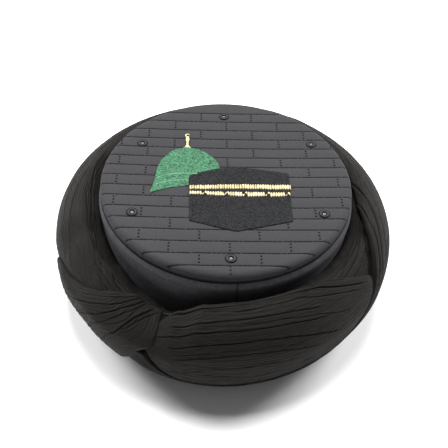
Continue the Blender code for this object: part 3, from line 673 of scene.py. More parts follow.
def warped_grid(columns, rows, size, place):
    """A grid whose points are moved by place(share across, share up), which also gives each point's
    painted shade, mapped in metres.
    """
    mesh = bmesh.new()
    mapping = mesh.loops.layers.uv.new("cloth")
    # Painted shade kept on the points: creases, seams, rims, edges and undersides are darkened by
    # it
    painted_shade_layer = mesh.verts.layers.float.new("crease")
    bmesh.ops.create_grid(mesh, x_segments=columns, y_segments=rows, size=0.5)
    for face in mesh.faces:
        for loop in face.loops:
            spot = loop.vert.co
            loop[mapping].uv = ((spot.x + 0.5) * size[0], (spot.y + 0.5) * size[1])
    for point in mesh.verts:
        point.co, point[painted_shade_layer] = place(point.co.x + 0.5, point.co.y + 0.5)
    return mesh


class Field:
    """A shader socket that takes part in Python expressions."""

    def __init__(self, paint, socket):
        self.paint = paint
        self.socket = socket

    def maths(self, operation, first, second=0.0):
        """A Math node on two values."""
        return self.paint.node("ShaderNodeMath", {"operation": operation}, {0: first, 1: second})

    def __add__(self, other):
        return self.maths("ADD", self, other)

    def __radd__(self, other):
        return self.maths("ADD", other, self)

    def __sub__(self, other):
        return self.maths("SUBTRACT", self, other)

    def __rsub__(self, other):
        return self.maths("SUBTRACT", other, self)

    def __mul__(self, other):
        return self.maths("MULTIPLY", self, other)

    def __rmul__(self, other):
        return self.maths("MULTIPLY", other, self)

    def __truediv__(self, other):
        return self.maths("DIVIDE", self, other)

    def __abs__(self):
        return self.maths("ABSOLUTE", self)

    def fraction(self):
        """What is left of the value past a whole number."""
        return self.maths("FRACT", self)

    def above(self, other):
        """1 where the value is over the other, or else 0."""
        return self.maths("GREATER_THAN", self, other)

    def below(self, other):
        """1 where the value is under the other, or else 0."""
        return self.maths("LESS_THAN", self, other)


class Paint:
    """Builds the nodes of one material."""

    def __init__(self, name, **constants):
        self.material = bpy.data.materials.new(name)
        self.material.use_nodes = True
        self.tree = self.material.node_tree
        self.shader = self.tree.nodes["Principled BSDF"]
        for socket, value in constants.items():
            self.shader.inputs[socket.replace("_", " ")].default_value = value

    def node(self, kind, settings=None, values=None, output=0):
        """A node of any type, with its settings first and then its sockets' values or links."""
        made = self.tree.nodes.new(kind)
        for key, value in (settings or {}).items():
            setattr(made, key, value)
        for key, value in (values or {}).items():
            if isinstance(value, Field):
                self.tree.links.new(value.socket, made.inputs[key])
            else:
                made.inputs[key].default_value = value
        return Field(self, made.outputs[output])

    def feed(self, socket, value):
        """Link a field to one of the shader's sockets."""
        self.tree.links.new(value.socket, self.shader.inputs[socket])

    def object_place(self):
        """Object coordinates in metres."""
        return self.node("ShaderNodeTexCoord", output="Object")

    def cloth_place(self):
        """The piece's own map in metres: along the cloth and across it."""
        return self.node("ShaderNodeUVMap", {"uv_map": "cloth"})

    def attribute(self, name):
        """A number kept on the piece's points."""
        return self.node("ShaderNodeAttribute", {"attribute_name": name}, output="Fac")

    def parts(self, vector):
        """A vector's three numbers."""
        split = self.tree.nodes.new("ShaderNodeSeparateXYZ")
        self.tree.links.new(vector.socket, split.inputs[0])
        return [Field(self, socket) for socket in split.outputs]

    def stretched(self, vector, scale):
        """A vector multiplied part by part."""
        return self.node("ShaderNodeVectorMath", {"operation": "MULTIPLY"}, {0: vector, 1: scale})

    def grain(self, vector, scale, detail=2.0, roughness=0.5):
        """Noise from 0 to 1, with so many patches to a metre along each axis."""
        spread = self.stretched(vector, scale) if isinstance(scale, tuple) else vector
        size = 1.0 if isinstance(scale, tuple) else scale
        values = {"Vector": spread, "Scale": size, "Detail": detail, "Roughness": roughness}
        return self.node("ShaderNodeTexNoise", None, values)

    def between(self, value, low, high):
        """The value's place between two limits, smoothed, from 0 to 1."""
        settings = {"interpolation_type": "SMOOTHSTEP"}
        values = {"Value": value, "From Min": low, "From Max": high}
        return self.node("ShaderNodeMapRange", settings, values)

    def tone(self, share, low, high):
        """A colour between two colours."""
        return self.node(
            "ShaderNodeMix", {"data_type": "RGBA"}, {0: share, 6: low, 7: high}, output=2
        )

    def darker(self, tone, share):
        """A colour multiplied by a grey share."""
        shade = self.node("ShaderNodeCombineColor", None, {0: share, 1: share, 2: share})
        settings = {"data_type": "RGBA", "blend_type": "MULTIPLY"}
        return self.node("ShaderNodeMix", settings, {0: 1.0, 6: tone, 7: shade}, output=2)

    def bump(self, height):
        """Relief in metres, fed to the shader's normal."""
        made = self.node(
            "ShaderNodeBump", None, {"Strength": 1.0, "Distance": 1.0, "Height": height}
        )
        self.feed("Normal", made)


def full(tone, share=1.0):
    """A setting's colour as a socket value, made lighter or darker by a share."""
    return (tone[0] * share, tone[1] * share, tone[2] * share, 1.0)


def crown_material(settings):
    """Grey twill with a dark line along each stitched row, partly the thread and partly painted
    shade in the row's groove, and painted shade down its wall to the seam.
    """
    paint = Paint("quilted_twill", Sheen_Weight=0.02, Sheen_Roughness=0.5, Specular_IOR_Level=0.15)
    place = paint.object_place()
    _, along, height = paint.parts(place)
    wander = paint.grain(place, (60.0, 10.0, 10.0)) - 0.5
    share = (along + wander * 0.0005 - FIRST_ROW) / ROW_PITCH + 100.0
    near = abs((share + 0.5).fraction() - 0.5) * ROW_PITCH
    inside = along.below(FIRST_ROW + 0.5 * ROW_PITCH) * along.above(LAST_ROW - 0.4 * ROW_PITCH)
    inside = inside * paint.between(height, CAP_HEIGHT - LINE_END, CAP_HEIGHT - LINE_FADE)
    # The row line is partly the stitching thread and partly painted shade in the quilted groove
    line = (1.0 - paint.between(near, *ROW_LINE)) * inside
    pucker = paint.grain(place, (330.0, 60.0, 60.0))
    weave = paint.grain(place, 1500.0, 3.0, 0.7)
    twill = paint.grain(place, (900.0, 900.0, 300.0), 2.0)
    cloudy = paint.grain(place, 26.0, 3.0)
    cloth = paint.tone(cloudy, full(settings.crown_colour, 0.90), full(settings.crown_colour, 1.10))
    cloth = paint.darker(cloth, 0.52 + weave * 0.56 + twill * 0.40)
    stitched = line * (0.50 + 0.50 * paint.grain(place, (420.0, 40.0, 40.0)).above(0.45))
    # Painted shade at the seam, kept on the crown's points
    seam = paint.attribute("crease")
    sewn_and_groove_shade = paint.tone(stitched, cloth, full(settings.crown_colour, 0.10))
    paint.feed("Base Color", paint.darker(sewn_and_groove_shade, 1.0 - 0.92 * seam))
    paint.feed("Roughness", 0.80 + weave * 0.15)
    soft = paint.between(near, 0.0, 0.0014)
    relief = (
        soft * 0.00030 * inside
        + (1.0 - soft) * pucker * 0.00022
        + weave * 0.00011
        + twill * 0.00007
    )
    paint.bump(relief)
    return paint.material


def side_material(settings):
    """Dark felted cloth with lint, one upright join at the front, and painted shade at its top
    under the seam.
    """
    paint = Paint("side_felt", Specular_IOR_Level=0.04)
    place = paint.object_place()
    across, along, _ = paint.parts(place)
    felt = paint.grain(place, 900.0, 4.0, 0.75)
    patch = paint.grain(place, 170.0, 4.0, 0.65)
    cloth = paint.tone(patch, full(settings.side_colour, 0.72), full(settings.side_colour, 1.32))
    cloth = paint.darker(cloth, 0.62 + felt * 0.76)
    lint = paint.grain(place, 900.0, 0.0).above(0.775) * paint.grain(place, 60.0, 2.0).above(0.50)
    cloth = paint.tone(lint * 0.4, cloth, full(settings.side_colour, 2.4))
    # Painted shade at the band's top, under the crown's seam
    cloth = paint.darker(cloth, 1.0 - 0.92 * paint.attribute("crease"))
    join = (
        1.0 - paint.between(abs(across - settings.join_place), 0.0002, 0.0007)
    ) * along.below(0.0)
    paint.feed("Base Color", paint.darker(cloth, 1.0 - join * 0.45))
    paint.feed("Roughness", 0.82 + felt * 0.15)
    paint.bump(felt * 0.00022 + patch * 0.00045 - join * 0.0004 + lint * 0.0001)
    return paint.material


def wrap_material(settings):
    """Near-black crinkled cloth: fine creases along it, a close weave, and painted shade in its
    folds and creases.
    """
    paint = Paint("pleated_cloth", Sheen_Weight=0.02, Sheen_Roughness=0.42, Specular_IOR_Level=0.13)
    cloth_at = paint.cloth_place()
    place = paint.object_place()
    crinkle = paint.grain(cloth_at, (26.0, 520.0, 1.0), 2.0, 0.6)
    folds = 1.0 - paint.between(abs(crinkle - 0.5), 0.0, 0.06)
    finer = paint.grain(cloth_at, (80.0, 1500.0, 1.0), 1.0)
    weave = paint.grain(place, 1700.0, 2.0, 0.6)
    patch = paint.grain(place, 34.0, 3.0)
    crease = paint.attribute("crease")
    cloth = paint.tone(patch, full(settings.cloth_colour, 0.92), full(settings.cloth_colour, 1.10))
    # Painted shade: the crinkle's troughs and its fold lines are darker, following the bump
    cloth = paint.darker(cloth, 0.72 + crinkle * 0.50 + weave * 0.22 - folds * 0.30)
    # Painted shade kept on the points darkens creases, edges and undersides
    paint.feed("Base Color", paint.darker(cloth, 1.0 - 0.66 * paint.between(crease, 0.05, 0.95)))
    paint.feed("Roughness", 0.70 + weave * 0.22)
    paint.bump(crinkle * 0.00080 - folds * 0.00018 + finer * 0.00024 + weave * 0.00007)
    return paint.material


def thread_material(name, base, thread):
    """Embroidery thread: short stitches along a direction, speckled between two limits; the light
    specks are partly the thread's tone and partly painted sheen.
    """
    gloss = thread.gloss
    paint = Paint(name, Sheen_Weight=0.2 * gloss, Sheen_Roughness=0.3, Specular_IOR_Level=gloss)
    place = paint.object_place()
    strand = paint.grain(place, thread.run, 1.0)
    fleck = paint.grain(place, thread.run[1] * 1.1, 2.0, 0.6)
    speckle_and_sheen = paint.between(strand * 0.45 + fleck * 0.65, *thread.limits)
    cloth = paint.tone(speckle_and_sheen, full(base, thread.dark), full(base, thread.light))
    crease = paint.attribute("crease")
    # Painted shade kept on the points darkens the gaps between stitches and the patch's rim
    paint.feed("Base Color", paint.darker(cloth, 1.0 - 0.88 * crease))
    paint.feed("Roughness", thread.roughness + fleck * 0.2)
    paint.bump(strand * 0.00035 + fleck * 0.00030)
    return paint.material


def plain_thread(name, base, roughness, metallic=0.0):
    """A thin dark or shiny thread with a little fuzz."""
    paint = Paint(name, Metallic=metallic, Specular_IOR_Level=0.12)
    fleck = paint.grain(paint.object_place(), 2300.0, 2.0)
    paint.feed("Base Color", paint.tone(fleck, full(base, 0.7), full(base, 1.3)))
    paint.feed("Roughness", roughness + fleck * 0.2)
    paint.bump(fleck * 0.00010)
    return paint.material


def length(name, description, default):
    """A setting in metres."""
    return bpy.props.FloatProperty(
        name=name, description=description, default=default, unit="LENGTH", precision=4
    )


def colour(name, description, default):
    """A colour as a setting."""
    return bpy.props.FloatVectorProperty(
        name=name, description=description, default=default, subtype="COLOR", size=3
    )


class CapSettings(bpy.types.PropertyGroup):
    """Sizes and colours of the stiff cap."""

    sag: length("Sag", "How far the crown's middle dips", 0.0017)
    puff: length("Puff", "Swell of the padding between two rows", 0.00028)
    join_place: length("Join", "Sideways place of the side band's join", 0.0053)
    crown_colour: colour("Crown", "Colour of the crown's twill", (0.0300, 0.0295, 0.0320))
    side_colour: colour("Side band", "Colour of the side band", (0.060, 0.059, 0.065))
    thread_colour: colour("Stitching", "Colour of the quilting thread", (0.004, 0.004, 0.005))


class EmbroiderySettings(bpy.types.PropertyGroup):
    """Sizes and colours of the embroidery."""

    relief: length("Relief", "Height of the embroidery over the crown", 0.0009)
    stitch: length("Stitch", "Width of one satin stitch", 0.0017)
    green: colour("Dome", "Colour of the dome's thread", (0.0195, 0.079, 0.0385))
    pale: colour("Tiers", "Colour of the dome's two pale lines", (0.085, 0.235, 0.140))
    gold: colour("Gold", "Colour of the bands' thread", (0.66, 0.56, 0.29))
    black: colour("Block", "Colour of the block's thread", (0.0034, 0.0035, 0.0040))


class WrapSettings(bpy.types.PropertyGroup):
    """Sizes and colour of the wound cloth."""

    pleat_pitch: length("Pleat", "Width of one small pleat", 0.0027)
    pleat_depth: length("Depth", "Depth of one small pleat", 0.00040)
    cloth_colour: colour("Cloth", "Colour of the wound cloth", (0.0102, 0.0087, 0.0076))


class StageSettings(bpy.types.PropertyGroup):
    """Light, floor and camera."""

    floor_colour: colour("Floor", "Colour of the floor", (0.90, 0.90, 0.90))
    sky: bpy.props.FloatProperty(
        name="Sky", description="Strength of the all-round light", default=0.20
    )
    lamp: bpy.props.FloatProperty(
        name="Lamp", description="Power of the soft lamp overhead", default=16.0, unit="POWER"
    )
    side_lamps: bpy.props.FloatProperty(
        name="Side lamps",
        description="Power of each soft lamp at the sides",
        default=22.0,
        unit="POWER",
    )
    lens: bpy.props.FloatProperty(
        name="Lens", description="Focal length of the camera", default=49.11, unit="CAMERA"
    )


def crown_profile():
    """Half section of the crown from its middle round its edge and back underneath."""
    rim = [(CROWN_FLAT * step / CROWN_STEPS, CAP_HEIGHT) for step in range(CROWN_STEPS + 1)]
    for step in range(1, ROUNDING_STEPS + 1):
        turn = 0.5 * math.pi * step / ROUNDING_STEPS
        reach = mix(CROWN_FLAT, SEAM_RADIUS, math.sin(turn))
        rim.append((reach, CAP_HEIGHT - ROUND_DROP * (1.0 - math.cos(turn))))
    for share in (0.35, 0.60, 0.80, 1.0):
        rim.append((SEAM_RADIUS, mix(CAP_HEIGHT - ROUND_DROP, SEAM_HEIGHT, share)))
    wall = SEAM_RADIUS - CROWN_WALL
    corner = wall - INNER_CORNER
    rim.append((wall, SEAM_HEIGHT))
    for step in range(1, 5):
        turn = 0.5 * math.pi * (1.0 - step / 4)
        drop = CROWN_THICKNESS + INNER_CORNER * (1.0 - math.cos(turn))
        rim.append((corner + INNER_CORNER * math.sin(turn), CAP_HEIGHT - drop))
    for step in range(1, 11):
        rim.append((corner * (1.0 - step / 10), CAP_HEIGHT - CROWN_THICKNESS))
    return rim


def turned_once(mesh, outline, sides):
    """An outline of points and edges turned once round Z."""
    bmesh.ops.spin(
        mesh,
        geom=outline,
        cent=(0, 0, 0),
        axis=(0, 0, 1),
        angle=math.tau,
        steps=sides,
        use_merge=True,
    )


def spun(profile, sides, closed=False):
    """A profile of radius and height turned once round Z."""
    mesh = bmesh.new()
    # Painted shade kept on the points, none unless it is set later
    mesh.verts.layers.float.new("crease")
    points = [mesh.verts.new((radius, 0.0, height)) for radius, height in profile]
    pairs = list(zip(points, points[1:])) + ([(points[-1], points[0])] if closed else [])
    lines = [mesh.edges.new(pair) for pair in pairs]
    turned_once(mesh, points + lines, sides)
    close_up(mesh)
    return mesh


def add_stitch(mesh, centre, run, length, width):
    """One short stitch of thread lying along a direction."""
    made = bmesh.ops.create_uvsphere(mesh, u_segments=6, v_segments=4, radius=0.5)
    turn = math.atan2(run[1], run[0])
    slope = math.atan2(run[2], math.hypot(run[0], run[1]))
    place = (
        Matrix.Translation(centre)
        @ Matrix.Rotation(turn, 4, "Z")
        @ Matrix.Rotation(-slope, 4, "Y")
        @ Matrix.Diagonal((length, width, 0.7 * width, 1.0))
    )
    bmesh.ops.transform(mesh, verts=made["verts"], matrix=place)


def crown_run(form, across, along, step_across, step_along):
    """A stitch's centre on the crown and its direction over it."""
    start = Vector((across - step_across, along - step_along, 0.0))
    end = Vector((across + step_across, along + step_along, 0.0))
    start.z = crown_height(form, start.x, start.y)
    end.z = crown_height(form, end.x, end.y)
    return 0.5 * (start + end), end - start


class TURBAN_OT_crown(bpy.types.Operator):
    """Make the quilted crown with its stitched rows"""

    bl_idname = "turban.crown"
    bl_label = "Quilted crown"

    def execute(self, context):
        """Turn the crown, dish it, swell it between its rows, and sew it."""
        settings = context.scene.turban_cap
        form = cap_form()
        mesh = spun(crown_profile(), CROWN_SIDES)
        painted_shade_layer = mesh.verts.layers.float["crease"]
        for point in mesh.verts:
            reach = math.hypot(point.co.x, point.co.y)
            # Painted shade: the crown's wall darkens down to the seam, where the groove lies in
            # shade
            if reach > SEAM_RADIUS - ON_WALL:
                point[painted_shade_layer] = clamp((CAP_HEIGHT - point.co.z - SEAM_SHADE) / SEAM_FADE)
            elif point.co.z > CAP_HEIGHT - edge_drop(reach) - ON_TOP:
                point.co.z = crown_height(form, point.co.x, point.co.y)
            elif point.co.z > SEAM_HEIGHT + SEAM_LIP:
                point.co.z -= dish(form, reach)
        crown = settle(mesh, "crown_cloth", crown_material(settings))
        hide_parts("crown_top")
        self.sew(settings, form)
        return {"FINISHED"}

    def sew(self, settings, form):
        """Rows of running stitches, and short upright tacks between them in a brick pattern."""
        mesh = bmesh.new()
        mesh.verts.layers.float.new("crease")
        for row in range(ROW_COUNT):
            along = FIRST_ROW - row * ROW_PITCH
            reach = math.sqrt((SEAM_RADIUS - ROW_END_GAP) ** 2 - along * along)
            count = int(2.0 * reach / STITCH_PITCH)
            for number in range(count + 1):
                across = mix(-reach, reach, number / count)
                drift = 0.0002 * noise.noise(Vector((across * 70.0, row * 9.1, 1.0)))
                centre, run = crown_run(form, across, along + drift, 0.0010, 0.0)
                add_stitch(mesh, centre + Vector((0.0, 0.0, STITCH_RISE)), run, *STITCH_SIZE)
            shift = TACK_SHIFT + (0.0 if row % 2 else 0.5 * TACK_PITCH)
            middle = max(along - 0.5 * ROW_PITCH, LAST_TACK)
            for column in range(-TACKS_EACH_SIDE, TACKS_EACH_SIDE + 1):
                tack = shift + column * TACK_PITCH
                if math.hypot(tack, middle) > SEAM_RADIUS - TACK_END_GAP:
                    continue
                for mark in TACK_MARKS:
                    centre, run = crown_run(form, tack, middle + mark * ROW_PITCH, 0.0, 0.0005)
                    add_stitch(mesh, centre + Vector((0.0, 0.0, TACK_RISE)), run, *TACK_SIZE)
        bmesh.ops.recalc_face_normals(mesh, faces=mesh.faces)
        thread = settle(
            mesh, "crown_stitches", plain_thread("quilt_thread", settings.thread_colour, 0.55)
        )


class TURBAN_OT_side(bpy.types.Operator):
    """Make the stiff side band of the cap"""

    bl_idname = "turban.side"
    bl_label = "Side band"

    def execute(self, context):
        """Turn the side band's wall and give it the slight waves of felted cloth."""
        settings = context.scene.turban_cap
        top = SEAM_HEIGHT - CLEARANCE
        low = top - SHOULDER_DROP
        outer = [(SEAM_RADIUS, top)]
        for share in (0.03, 0.08, 0.18, 0.30, 0.45, 0.60, 0.80, 1.0):
            outer.append((mix(SEAM_RADIUS, side_radius(low), share), top - SHOULDER_DROP * share))
        for step in range(1, SIDE_STEPS + 1):
            height = low * (1.0 - step / SIDE_STEPS)
            outer.append((side_radius(height), height))
        inner = []
        for step in range(INNER_STEPS + 1):
            height = low * step / INNER_STEPS
            inner.append((side_radius(height) - SIDE_WALL, height))
        inner.append((SEAM_RADIUS - SIDE_WALL, top))
        mesh = spun(outer + inner, SIDE_SIDES, closed=True)
        for point in mesh.verts:
            reach = math.hypot(point.co.x, point.co.y)
            spot = Vector((point.co.x * 30.0, point.co.y * 30.0, point.co.z * 40.0))
            wave = 0.00035 * noise.noise(spot) * clamp(point.co.z / 0.01)
            if reach > side_radius(point.co.z) - 0.5 * SIDE_WALL:
                azimuth = math.degrees(math.atan2(point.co.x, -point.co.y))
                contact = ring_shape(round(azimuth, 2)).contact
                below = clamp((point.co.z - contact) / (SIDE_PUFF_HEIGHT - contact))
                wave += SIDE_PUFF * ease(below) * ease(clamp((top - point.co.z) / SHOULDER_DROP))
            scale = (reach + wave) / reach
            point.co.x *= scale
            point.co.y *= scale
        painted_shade_layer = mesh.verts.layers.float["crease"]
        # Painted shade: the band darkens towards its top, under the crown's seam
        for point in mesh.verts:
            point[painted_shade_layer] = clamp((point.co.z - top + 2.0 * SEAM_FADE) / SEAM_FADE)
        side = settle(mesh, "side_band", side_material(settings))
        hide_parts("cap_side")
        return {"FINISHED"}


class TURBAN_OT_eyelets(bpy.types.Operator):
    """Make the six stitched eyelets of the crown"""

    bl_idname = "turban.eyelets"
    bl_label = "Eyelets"

    def execute(self, context):
        """Turn one ringed eyelet for each vent hole and set it on the crown."""
        form = cap_form()
        dark = plain_thread("eyelet_dark", EYELET_COLOURS[0], 0.6)
        pale = plain_thread("eyelet_pale", EYELET_COLOURS[1], 0.7)
        painted_glint = plain_thread("eyelet_glint", EYELET_COLOURS[2], 0.35, 0.4)
        for number, vent in enumerate(VENTS, 1):
            eyelet = self.turned(form, number, vent, (dark, pale, painted_glint))
            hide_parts(f"eyelet_{number}")
        return {"FINISHED"}

    def turned(self, form, number, vent, finishes):
        """One eyelet: a dark outer ring, a pale ring, a dark inner ring and a small bore whose pale
        colour is a painted glint.
        """
        angle = math.radians(vent.angle)
        centre = Vector((math.cos(angle), math.sin(angle), 0.0)) * vent.reach * VENT_CIRCLE
        mesh = bmesh.new()
        mesh.verts.layers.float.new("crease")
        upright = Matrix.Rotation(0.5 * math.pi, 3, "X")
        for ring in EYELET_RINGS:
            known = set(mesh.faces)
            points = bmesh.ops.create_circle(mesh, segments=10, radius=ring.thick * 0.001)["verts"]
            bmesh.ops.rotate(mesh, verts=points, cent=(0, 0, 0), matrix=upright)
            shift = (ring.radius * 0.001, 0.0, (EYELET_RISE + ring.sunk) * 0.001)
            bmesh.ops.translate(mesh, verts=points, vec=shift)
            lines = list({edge for point in points for edge in point.link_edges})
            turned_once(mesh, points + lines, EYELET_SIDES)
            for face in set(mesh.faces) - known:
                face.material_index = ring.finish
        for point in mesh.verts:
            turn = math.atan2(point.co.y, point.co.x)
            reach = math.hypot(point.co.x, point.co.y)
            ripple = 1.0 + EYELET_RIPPLE * math.sin(EYELET_STITCHES * turn)
            point.co.x *= ripple
            point.co.y *= ripple
            raised = EYELET_SWELL * bell(reach - EYELET_SWELL_REACH, EYELET_SWELL_WIDTH)
            point.co.z += crown_height(form, centre.x + point.co.x, centre.y + point.co.y) + raised
            point.co.x += centre.x
            point.co.y += centre.y
        close_up(mesh)
        return settle(mesh, f"stitched_eyelet_{number}", finishes)


def line_height(line, across):
    """Height of a bent line of spots at a place across it."""
    return table_value(line, 0, 1, across)


def embroidered(grid, outline, relief, base, satin=0.0, ragged=0.0, teeth=0.0, rim_shade=0.5):
    """A raised patch of thread on the crown, from outline(share across, share up) in mm."""
    form = cap_form()
    columns, rows = grid

    def place(share_across, share_up):
        across, along = (0.001 * value for value in outline(share_across, share_up))
        count = across / satin if satin else 0.5
        hollow = 1.0 - abs(math.sin(math.pi * count))
        if ragged:
            row = 2.0 if share_up > 0.5 else 7.0
            jump = noise.noise(Vector((math.floor(count) * 5.3 + 0.5, base * 900.0, row)))
            along += (ragged * jump - teeth * hollow * hollow) * (2.0 * share_up - 1.0)
        edge = min(share_up, 1.0 - share_up)
        side = min(share_across, 1.0 - share_across)
        dome = math.sqrt(clamp(edge * rows / 2.0) * clamp(side * columns / 2.0))
        height = crown_height(form, across, along) + base + relief * dome * (1.0 - 0.45 * hollow)
        # Painted shade: darker in the hollows between stitches and round the patch's rim
        shade = (1.3 if teeth else 0.3) * hollow * math.sqrt(hollow) + rim_shade * (1.0 - dome)
        return Vector((across, along, height)), clamp(shade)

    return warped_grid(columns, rows, (1.0, 1.0), place)


def thickened(mesh, depth):
    """A patch closed underneath, so that it is a thin solid."""
    faces = list(mesh.faces)
    bmesh.ops.recalc_face_normals(mesh, faces=faces)
    if sum(face.normal.z for face in faces) < 0.0:
        bmesh.ops.reverse_faces(mesh, faces=faces)
    made = bmesh.ops.extrude_face_region(mesh, geom=faces, use_keep_orig=True)
    under = [item for item in made["geom"] if isinstance(item, bmesh.types.BMVert)]
    bmesh.ops.translate(mesh, verts=under, vec=(0.0, 0.0, -depth))
    bmesh.ops.recalc_face_normals(mesh, faces=mesh.faces)


def between_lines(bottom, top):
    """An outline between a bottom line and a top line of spots."""

    def outline(share_across, share_up):
        low = mix(bottom[0].across, bottom[-1].across, share_across)
        high = mix(top[0].across, top[-1].across, share_across)
        return (
            mix(low, high, share_up),
            mix(line_height(bottom, low), line_height(top, high), share_up),
        )

    return outline


def along_line(line, width):
    """An outline that follows a bent line of spots with a constant width."""

    def outline(share_across, share_up):
        across = mix(line[0].across, line[-1].across, share_across)
        return across, line_height(line, across) + width * (share_up - 0.5)

    return outline


def linked_band(share_across, share_up):
    """The lower band: bars joined by small waved links."""
    across, along = between_lines(LOWER_BAND_BOTTOM, LOWER_BAND_TOP)(share_across, share_up)
    high = line_height(LOWER_BAND_TOP, across)
    low = line_height(LOWER_BAND_BOTTOM, across)
    for gap in LOWER_BAND_GAPS:
        if gap.start < across < gap.end:
            inside = (across - gap.start) / (gap.end - gap.start)
            narrow = math.sin(math.pi * inside) ** 0.5
            middle = 0.5 * (high + low) - 0.28 * (high - low) * math.sin(math.tau * inside)
            half = mix(0.5 * (high - low), LINK_WIDTH, narrow)
            along = middle + (2.0 * share_up - 1.0) * half
    return across, along


def finial_stem(share_across, share_up):
    """The finial's foot, stem and ball."""
    height = share_up * FINIAL_HALVES[-1].height
    half = table_value(FINIAL_HALVES, 1, 0, height)
    return FINIAL_FOOT.across + (2.0 * share_across - 1.0) * half, FINIAL_FOOT.along + height


def crescent(share_across, share_up):
    """The small open crescent on the finial."""
    turn = math.radians(mix(20.0, 320.0, share_across))
    width = 0.85 * math.sin(math.pi * share_across) ** 0.6 + 0.15
    radius = CRESCENT_RADIUS + (share_up - 0.5) * width
    middle = FINIAL_FOOT.along + CRESCENT_RISE
    return FINIAL_FOOT.across + radius * math.cos(turn), middle + radius * math.sin(turn)


class TURBAN_OT_embroidery(bpy.types.Operator):
    """Make the raised embroidery on the crown"""

    bl_idname = "turban.embroidery"
    bl_label = "Embroidery"

    def execute(self, context):
        """Lay the block, the dome with its tiers, the finial and the two bands."""
        settings = context.scene.turban_embroidery
        relief = settings.relief
        green = thread_material("dome_green", settings.green, GREEN_THREAD)
        pale = thread_material("dome_pale_green", settings.pale, PALE_THREAD)
        gold = thread_material("band_gold", settings.gold, GOLD_THREAD)
        black = thread_material("block_black", settings.black, BLACK_THREAD)
        outline = between_lines(BLOCK_BOTTOM, BLOCK_TOP)
        block = embroidered(
            BLOCK_GRID,
            outline,
            relief * 0.70,
            1.8 * UNDERLAY,
            satin=0.0011,
            ragged=0.00025,
            rim_shade=0.10,
        )
        self.lay(block, "block_thread", black, "motif_block", "black_thread")
        outline = between_lines(DOME_BOTTOM, DOME_TOP)
        dome = embroidered(DOME_GRID, outline, relief * 0.7, UNDERLAY, rim_shade=0.15)
        self.lay(dome, "dome_thread", green, "motif_dome", "green_thread")
        for name, line in (("dome_tier_upper", UPPER_TIER), ("dome_tier_lower", LOWER_TIER)):
            outline = along_line(line, TIER_WIDTH)
            tier = embroidered(
                TIER_GRID, outline, relief * 0.40, UNDERLAY + relief * 0.60, satin=0.0013
            )
            self.lay(tier, name, pale, None, "green_thread")
        stem = embroidered(STEM_GRID, finial_stem, relief, UNDERLAY)
        self.lay(stem, "finial_stem", gold, "motif_finial", "gold_thread")
        moon = embroidered(CRESCENT_GRID, crescent, relief, UNDERLAY)
        self.lay(moon, "finial_crescent", gold, None, "gold_thread")
        lift = relief * 0.72
        comb = {"satin": settings.stitch, "ragged": BAND_RAGGED, "teeth": BAND_TEETH}
        outline = between_lines(UPPER_BAND_BOTTOM, UPPER_BAND_TOP)
        upper = embroidered(BAND_GRID, outline, relief, lift, **comb)
        self.lay(upper, "band_upper", gold, "motif_band_upper", "gold_thread")
        lower = embroidered(BAND_GRID, linked_band, relief, lift, **comb)
        self.lay(lower, "band_lower", gold, "motif_band_lower", "gold_thread")
        return {"FINISHED"}

    def lay(self, mesh, name, finish, node, slot):
        """Close a patch underneath, settle it and hide the frame's node it stands for, if any."""
        thickened(mesh, PATCH_DEPTH)
        patch = settle(mesh, name, finish)
        if node:
            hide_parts(node)


